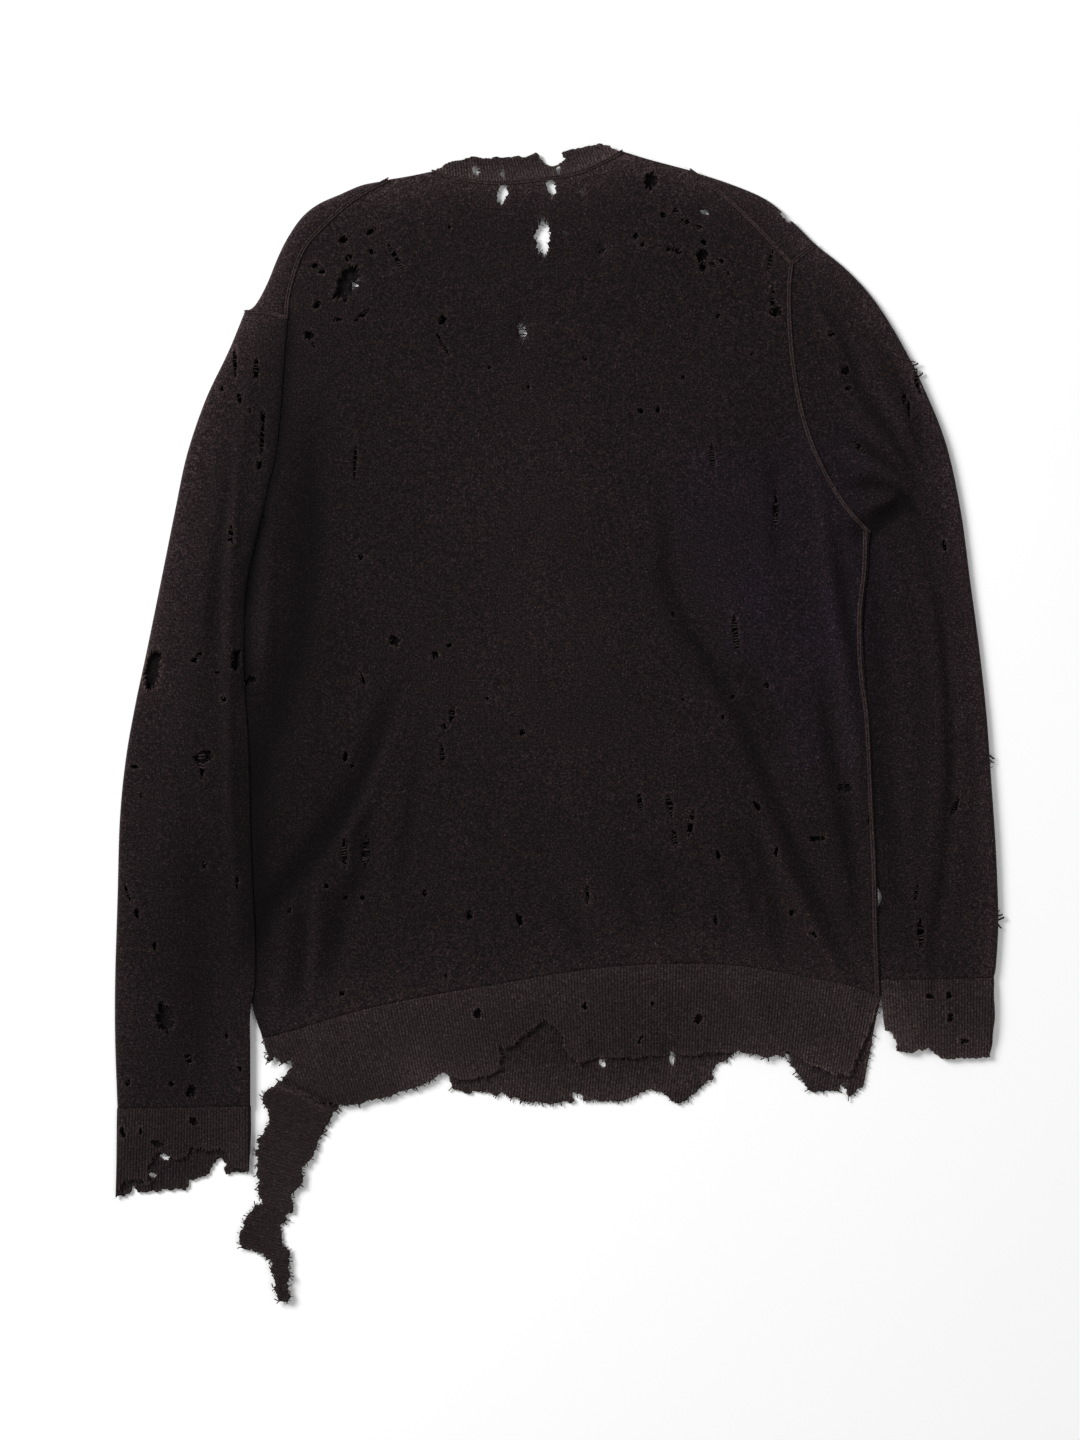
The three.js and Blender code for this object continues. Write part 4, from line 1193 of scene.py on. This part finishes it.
def ridge_mesh(name, line, folds=()):
    """A double cord along a line, on top of the cloth, with its crest edges marked."""
    line = stepped(line, RIDGE_STEP)
    away = sideways(line)
    z = rolled(line, upper(line), folds)
    size = len(RIDGE_PROFILE)
    points = [(*(p + w * s), h + up) for p, w, h in zip(line, away, z) for s, up in RIDGE_PROFILE]
    faces, crests = [], []
    for i in range(len(line) - 1):
        a, b = i * size, (i + 1) * size
        faces += [(a + j, b + j, b + (j + 1) % size, a + (j + 1) % size) for j in range(size)]
        crests += [{a + j, b + j} for j in CRESTS]
    faces += [tuple(range(size)), tuple(range((len(line) - 1) * size, len(line) * size))[::-1]]
    mesh = bpy.data.meshes.new(name)
    mesh.from_pydata((np.array(points) * MM).tolist(), [], faces)
    marked = {frozenset(pair) for pair in crests}
    layer = mesh.attributes.new("crest_edge", "BOOLEAN", "EDGE")
    layer.data.foreach_set("value", [frozenset(edge.vertices) in marked for edge in mesh.edges])
    made = bmesh.new()
    made.from_mesh(mesh)
    bmesh.ops.recalc_face_normals(made, faces=made.faces)
    made.to_mesh(mesh)
    made.free()
    mesh.uv_layers.new(name="knit")
    mesh.shade_smooth()
    return mesh


print("a ridge is", 2 * max(s for s, _ in RIDGE_PROFILE), "mm wide")

# %% The tree that lays the stitches
linking, given = new_group("linked_stitches", Spacing="Float", Size="Float", Material="Material")
marked = add_node(linking, "GeometryNodeInputNamedAttribute", {"data_type": "BOOLEAN"},
                  {"Name": "crest_edge"})
lines = add_node(linking, "GeometryNodeMeshToCurve", inputs={"Mesh": given.outputs["Geometry"],
                                                             "Selection": marked.outputs[0]})
dots = add_node(linking, "GeometryNodeResampleCurve", {"mode": "LENGTH"}, {"Curve": lines.outputs[0],
                                                                          "Length": given.outputs["Spacing"]})
ahead = add_node(linking, "GeometryNodeInputTangent")
turned = add_node(linking, "FunctionNodeAlignEulerToVector", {"axis": "X"}, {"Vector": ahead.outputs[0]})
wander = add_node(linking, "FunctionNodeRandomValue", {"data_type": "FLOAT"}, {2: 0.75, 3: 1.25, "Seed": 7})
stitch = add_node(linking, "GeometryNodeMeshUVSphere", inputs={"Segments": 6, "Rings": 4,
                                                              "Radius": given.outputs["Size"]})
long = add_node(linking, "GeometryNodeTransform",
                inputs={"Geometry": stitch.outputs[0], "Scale": (1.25, 0.62, 0.5),
                                                          "Rotation": (0, 0, 0.35)})
laid = add_node(linking, "GeometryNodeInstanceOnPoints", inputs={
    "Points": dots.outputs[0], "Instance": long.outputs[0], "Rotation": turned.outputs[0],
    "Scale": wander.outputs[1]})
both = add_node(linking, "GeometryNodeJoinGeometry", inputs={"Geometry": given.outputs["Geometry"]})
linking.links.new(laid.outputs[0], both.inputs[0])
finish_group(linking, both.outputs[0], given.outputs["Material"])


def seam_piece(name, line, node, **shape):
    """A linked seam that stands for its solid."""
    thing = with_nodes(place(name, ridge_mesh(name, line, **shape)), linking, Spacing=2.0 * MM,
                       Size=0.95 * MM,
                       Material=seam_wool)
    described(settle(thing))
    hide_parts(node)
    return thing


seams = [
    seam_piece("neck_linking", back_neck, "neck_seam"),
    seam_piece("left_shoulder_linking", left_shoulder_seam, "left_shoulder_seam"),
    seam_piece("right_shoulder_linking", right_shoulder_seam, "right_shoulder_seam"),
    seam_piece("left_armhole_linking", left_armhole_top, "left_armhole_seam", folds=[fold(left_outer)]),
    seam_piece("right_armhole_linking", np.vstack([right_armhole_top, right_armhole[1:]]),
               "right_armhole_seam",
               folds=[fold(right_outer)]),
    seam_piece("right_side_linking", shifted(right_side, -3.2), "right_side_seam",
               folds=[fold(right_side, OVER)]),
]

# %% [markdown]
# ## Loose ends
#
# Wherever the knitting is torn, short ends of yarn stick out, and a run keeps its ladder: the bare threads
# that used to join the lost stitches. Each starts at a point with a direction and a reach. Geometry Nodes
# puts one thin bent end of yarn on every point, with four flat sides, since there are well over a thousand.

# %% Where the ends start
def ends_along(rims, inward, every, seed, reach):
    """Points on torn edges, with the way each end leans and how far it reaches."""
    random = np.random.default_rng(seed)
    found = []
    for rim in rims:
        away = sideways(rim) * inward
        picked = np.nonzero(random.random(len(rim)) < every)[0]
        lean = random.normal(0, 0.9, len(picked))
        for i, slant in zip(picked, lean):
            w = away[i]
            found.append((*rim[i], w[0] - w[1] * slant, w[1] + w[0] * slant,
                          reach * random.uniform(0.5, 1.6)))
    return np.array(found).reshape(-1, 5)


WIDEST_LADDER = 6  # mm; the threads of a wider tear have broken
LADDER_STEP = 2.3  # mm between threads


def ladders(places, seed):
    """Threads across tall narrow tears, about one every second course."""
    random = np.random.default_rng(seed)
    found = []
    for x, y, wide, high, lean in places:
        if high > 2.4 * wide and high > 10 and wide < WIDEST_LADDER:
            c, s = math.cos(math.radians(-lean)), math.sin(math.radians(-lean))
            for run in np.arange(-high * 0.42, high * 0.42, LADDER_STEP):
                if random.random() < 0.6:
                    across = -wide * 0.6
                    found.append((x + across * c - run * s, y + across * s + run * c, c,
                                  s + random.normal(0, 0.15), wide * 1.15))
    return np.array(found).reshape(-1, 5)


print("ends on one hole:", len(ends_along([back_holes[3]], 1, 0.3, 1, 2.0)))

# %% The tree that grows them
yarn_ends, given = new_group("loose_yarn_ends", Thickness="Float", Seed="Int", Material="Material")
starts = add_node(yarn_ends, "GeometryNodeMeshToPoints", inputs={"Mesh": given.outputs["Geometry"]})
way = add_node(yarn_ends, "GeometryNodeInputNamedAttribute", {"data_type": "FLOAT_VECTOR"}, {"Name": "way"})
reach = add_node(yarn_ends, "GeometryNodeInputNamedAttribute", {"data_type": "FLOAT"}, {"Name": "reach"})
faced = add_node(yarn_ends, "FunctionNodeAlignEulerToVector", {"axis": "X"}, {"Vector": way.outputs[0]})
# One end of yarn is drawn 1 long and scaled by its reach, its thickness with it
line = add_node(yarn_ends, "GeometryNodeCurvePrimitiveBezierSegment", inputs={
    "Resolution": 5, "Start": (0, 0, 0), "Start Handle": (0.35, 0.08, 0.10),
    "End Handle": (0.7, -0.12, 0.10),
    "End": (1.0, 0.06, -0.12)})
across = add_node(yarn_ends, "GeometryNodeCurvePrimitiveCircle", inputs={
    "Resolution": 4, "Radius": given.outputs["Thickness"]})
yarn = add_node(yarn_ends, "GeometryNodeCurveToMesh", inputs={
    "Curve": line.outputs[0], "Profile Curve": across.outputs[0], "Fill Caps": True})
roll = add_node(yarn_ends, "FunctionNodeRandomValue", {"data_type": "FLOAT"},
                {2: -0.9, 3: 0.9, "Seed": given.outputs["Seed"]})
spin = add_node(yarn_ends, "ShaderNodeCombineXYZ", inputs={0: roll.outputs[1]})
rolled_way = add_node(yarn_ends, "FunctionNodeRotateEuler", {"rotation_type": "EULER", "space": "LOCAL"},
                      {"Rotation": faced.outputs[0], "Rotate By": spin.outputs[0]})
grown = add_node(yarn_ends, "GeometryNodeInstanceOnPoints", inputs={
    "Points": starts.outputs[0], "Instance": yarn.outputs[0], "Rotation": rolled_way.outputs[0],
    "Scale": reach.outputs[0]})
finish_group(yarn_ends, grown.outputs[0], given.outputs["Material"])


def loose_yarn(name, found, height, thickness=0.16, seed=3):
    """One piece of loose ends, each starting on the cloth."""
    start = found[:, :2]
    z = height(start) - 0.5
    mesh = bpy.data.meshes.new(name)
    mesh.from_pydata((np.column_stack([start, z]) * MM).tolist(), [], [])
    tilt = np.random.default_rng(seed).normal(0.06, 0.12, len(found))
    mesh.attributes.new("way", "FLOAT_VECTOR", "POINT").data.foreach_set(
        "vector", np.column_stack([found[:, 2:4], tilt]).ravel().astype(np.float32))
    mesh.attributes.new("reach", "FLOAT", "POINT").data.foreach_set("value",
                                                                    (found[:, 4] * MM).astype(np.float32))
    thing = with_nodes(place(name, mesh), yarn_ends, Thickness=thickness, Seed=seed, Material=loose_wool)
    described(settle(thing))
    return thing


print("the tree for loose ends has", len(yarn_ends.nodes), "nodes")

# %% The ends and threads themselves
def drooping(edge, droop):
    """The height of an upper layer whose edge hangs down."""
    return lambda points: upper(points) - drooped(points, [edge], droop)


# A tear right through stays clean, so that it shows the surface below
ragged = [ring for ring in back_holes + left_holes + right_holes
          if min(np.linalg.norm(ring.mean(0) - at) for _, _, at in DIMPLES) > 12]
OUTWARD = 1 if sideways(right_outer)[:, 0].mean() > 0 else -1
frayed = [right_outer[np.abs(right_outer[:, 1] - y) < 7] for y in (300, -35, -168)]
loose = [
    loose_yarn("frayed_tufts_of_right_sleeve", ends_along(frayed, OUTWARD, 3.0, 59, 3.6),
               lambda points: np.full(len(points), MEET), seed=59),
    loose_yarn("loose_ends_in_tears", ends_along(ragged, 1, 0.22, 51, 1.8), upper, seed=51),
    loose_yarn("ladder_threads", np.vstack([ladders(BACK_TEARS, 52), ladders(LEFT_SLEEVE_TEARS, 53),
                                            ladders(RIGHT_SLEEVE_TEARS, 54)]), upper, 0.13, seed=52),
    loose_yarn("loose_ends_of_back_hem", ends_along([back_hem_edge], -1, 0.5, 55, 2.2),
               drooping(back_hem_edge, 1.8), seed=55),
    loose_yarn("loose_ends_of_front_hem", ends_along([front_hem_edge], -1, 0.45, 56, 2.2),
               lambda points: flat_down(points) + 1.3, seed=56),
    loose_yarn("loose_ends_of_strip", ends_along([strip_edge], -1, 0.45, 57, 2.2),
               lambda points: strip_height(points) + 1.3, seed=57),
    loose_yarn("loose_ends_of_cuffs", ends_along([left_cuff_top_edge, right_cuff_edge], -1, 0.5, 58, 2.2),
               lambda points: upper(points) - 2.2, seed=58),
]

# %% [markdown]
# ## Attaching the pieces
#
# Every piece rides on the part's one body and hides the solid that it stands for; each piece of cloth prints
# the size that it was cut to and its area. A sleeve's cut is counted all round.

# %% Pieces, their body and their cut
for slot, pieces in {"jersey": (back, front, left_sleeve, right_sleeve),
                     "rib": (back_hem, front_hem, strip, left_cuff, right_cuff, neckband)}.items():
    for thing, flat, area, nodes in pieces:
        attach(thing, "root")
        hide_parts(*nodes)
        print(f"{thing.name}: cut {flat} m, {area:.4f} m2")
for thing in seams + loose:
    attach(thing, "root")

# %% [markdown]
# ## Floor, light and camera
#
# Flat lays are lit by one large soft window of light from the side and a paler fill all round, so that folds
# show but nothing is hard. The camera looks straight down from 3 m.

# %% The floor
FLOOR_HALF, FLOOR_TOP = 12, -0.0006  # m; the floor lies just under the lowest stitch

floor_mesh = bpy.data.meshes.new("floor")
corners = [(x * FLOOR_HALF, y * FLOOR_HALF, FLOOR_TOP) for x, y in ((-1, -1), (1, -1), (1, 1), (-1, 1))]
floor_mesh.from_pydata(corners, [], [(0, 1, 2, 3)])
floor = place("floor", floor_mesh)
pale = bpy.data.materials.new("pale_matt_paper")
pale.use_nodes = True
pale.node_tree.nodes["Principled BSDF"].inputs["Base Color"].default_value = linear("#f4f4f4")
pale.node_tree.nodes["Principled BSDF"].inputs["Roughness"].default_value = 0.9
floor_mesh.materials.append(pale)
print("floor:", 2 * FLOOR_HALF, "m square")

# %% The light
world = bpy.data.worlds.new("studio")
bpy.context.scene.world = world
world.use_nodes = True
world.node_tree.nodes["Background"].inputs["Color"].default_value = (1, 1, 1, 1)
world.node_tree.nodes["Background"].inputs["Strength"].default_value = 0.32


def soft_light(name, place_at, size, power):
    """A square panel of light that faces the middle of the cloth."""
    light = bpy.data.lights.new(name, "AREA")
    light.size, light.energy = size, power
    thing = place(name, light)
    thing.location = place_at
    thing.rotation_euler = (-Vector(place_at)).to_track_quat("-Z", "Y").to_euler()
    return thing


soft_light("window", (-2.6, 1.6, 2.2), 1.6, 185)
soft_light("fill", (2.0, -1.4, 2.8), 2.2, 30)
print("window light at", round(Vector((-2.6, 1.6, 2.2)).length, 1), "m")

# %% The camera
VIEW_HEIGHT = 1.224  # m of floor that the picture's height takes in
CAMERA_HEIGHT = 3.0
VIEW_MIDDLE = (-0.0162, 0.0017)

camera = bpy.data.cameras.new("camera")
camera.sensor_fit = "VERTICAL"
camera.angle = 2 * math.atan(VIEW_HEIGHT / 2 / CAMERA_HEIGHT)
camera.clip_end = 20
camera_object = place("camera", camera)
camera_object.location = (*VIEW_MIDDLE, CAMERA_HEIGHT)
bpy.context.scene.camera = camera_object
bpy.context.scene.view_settings.view_transform = "Standard"
print("camera angle:", round(math.degrees(camera.angle), 1), "degrees")
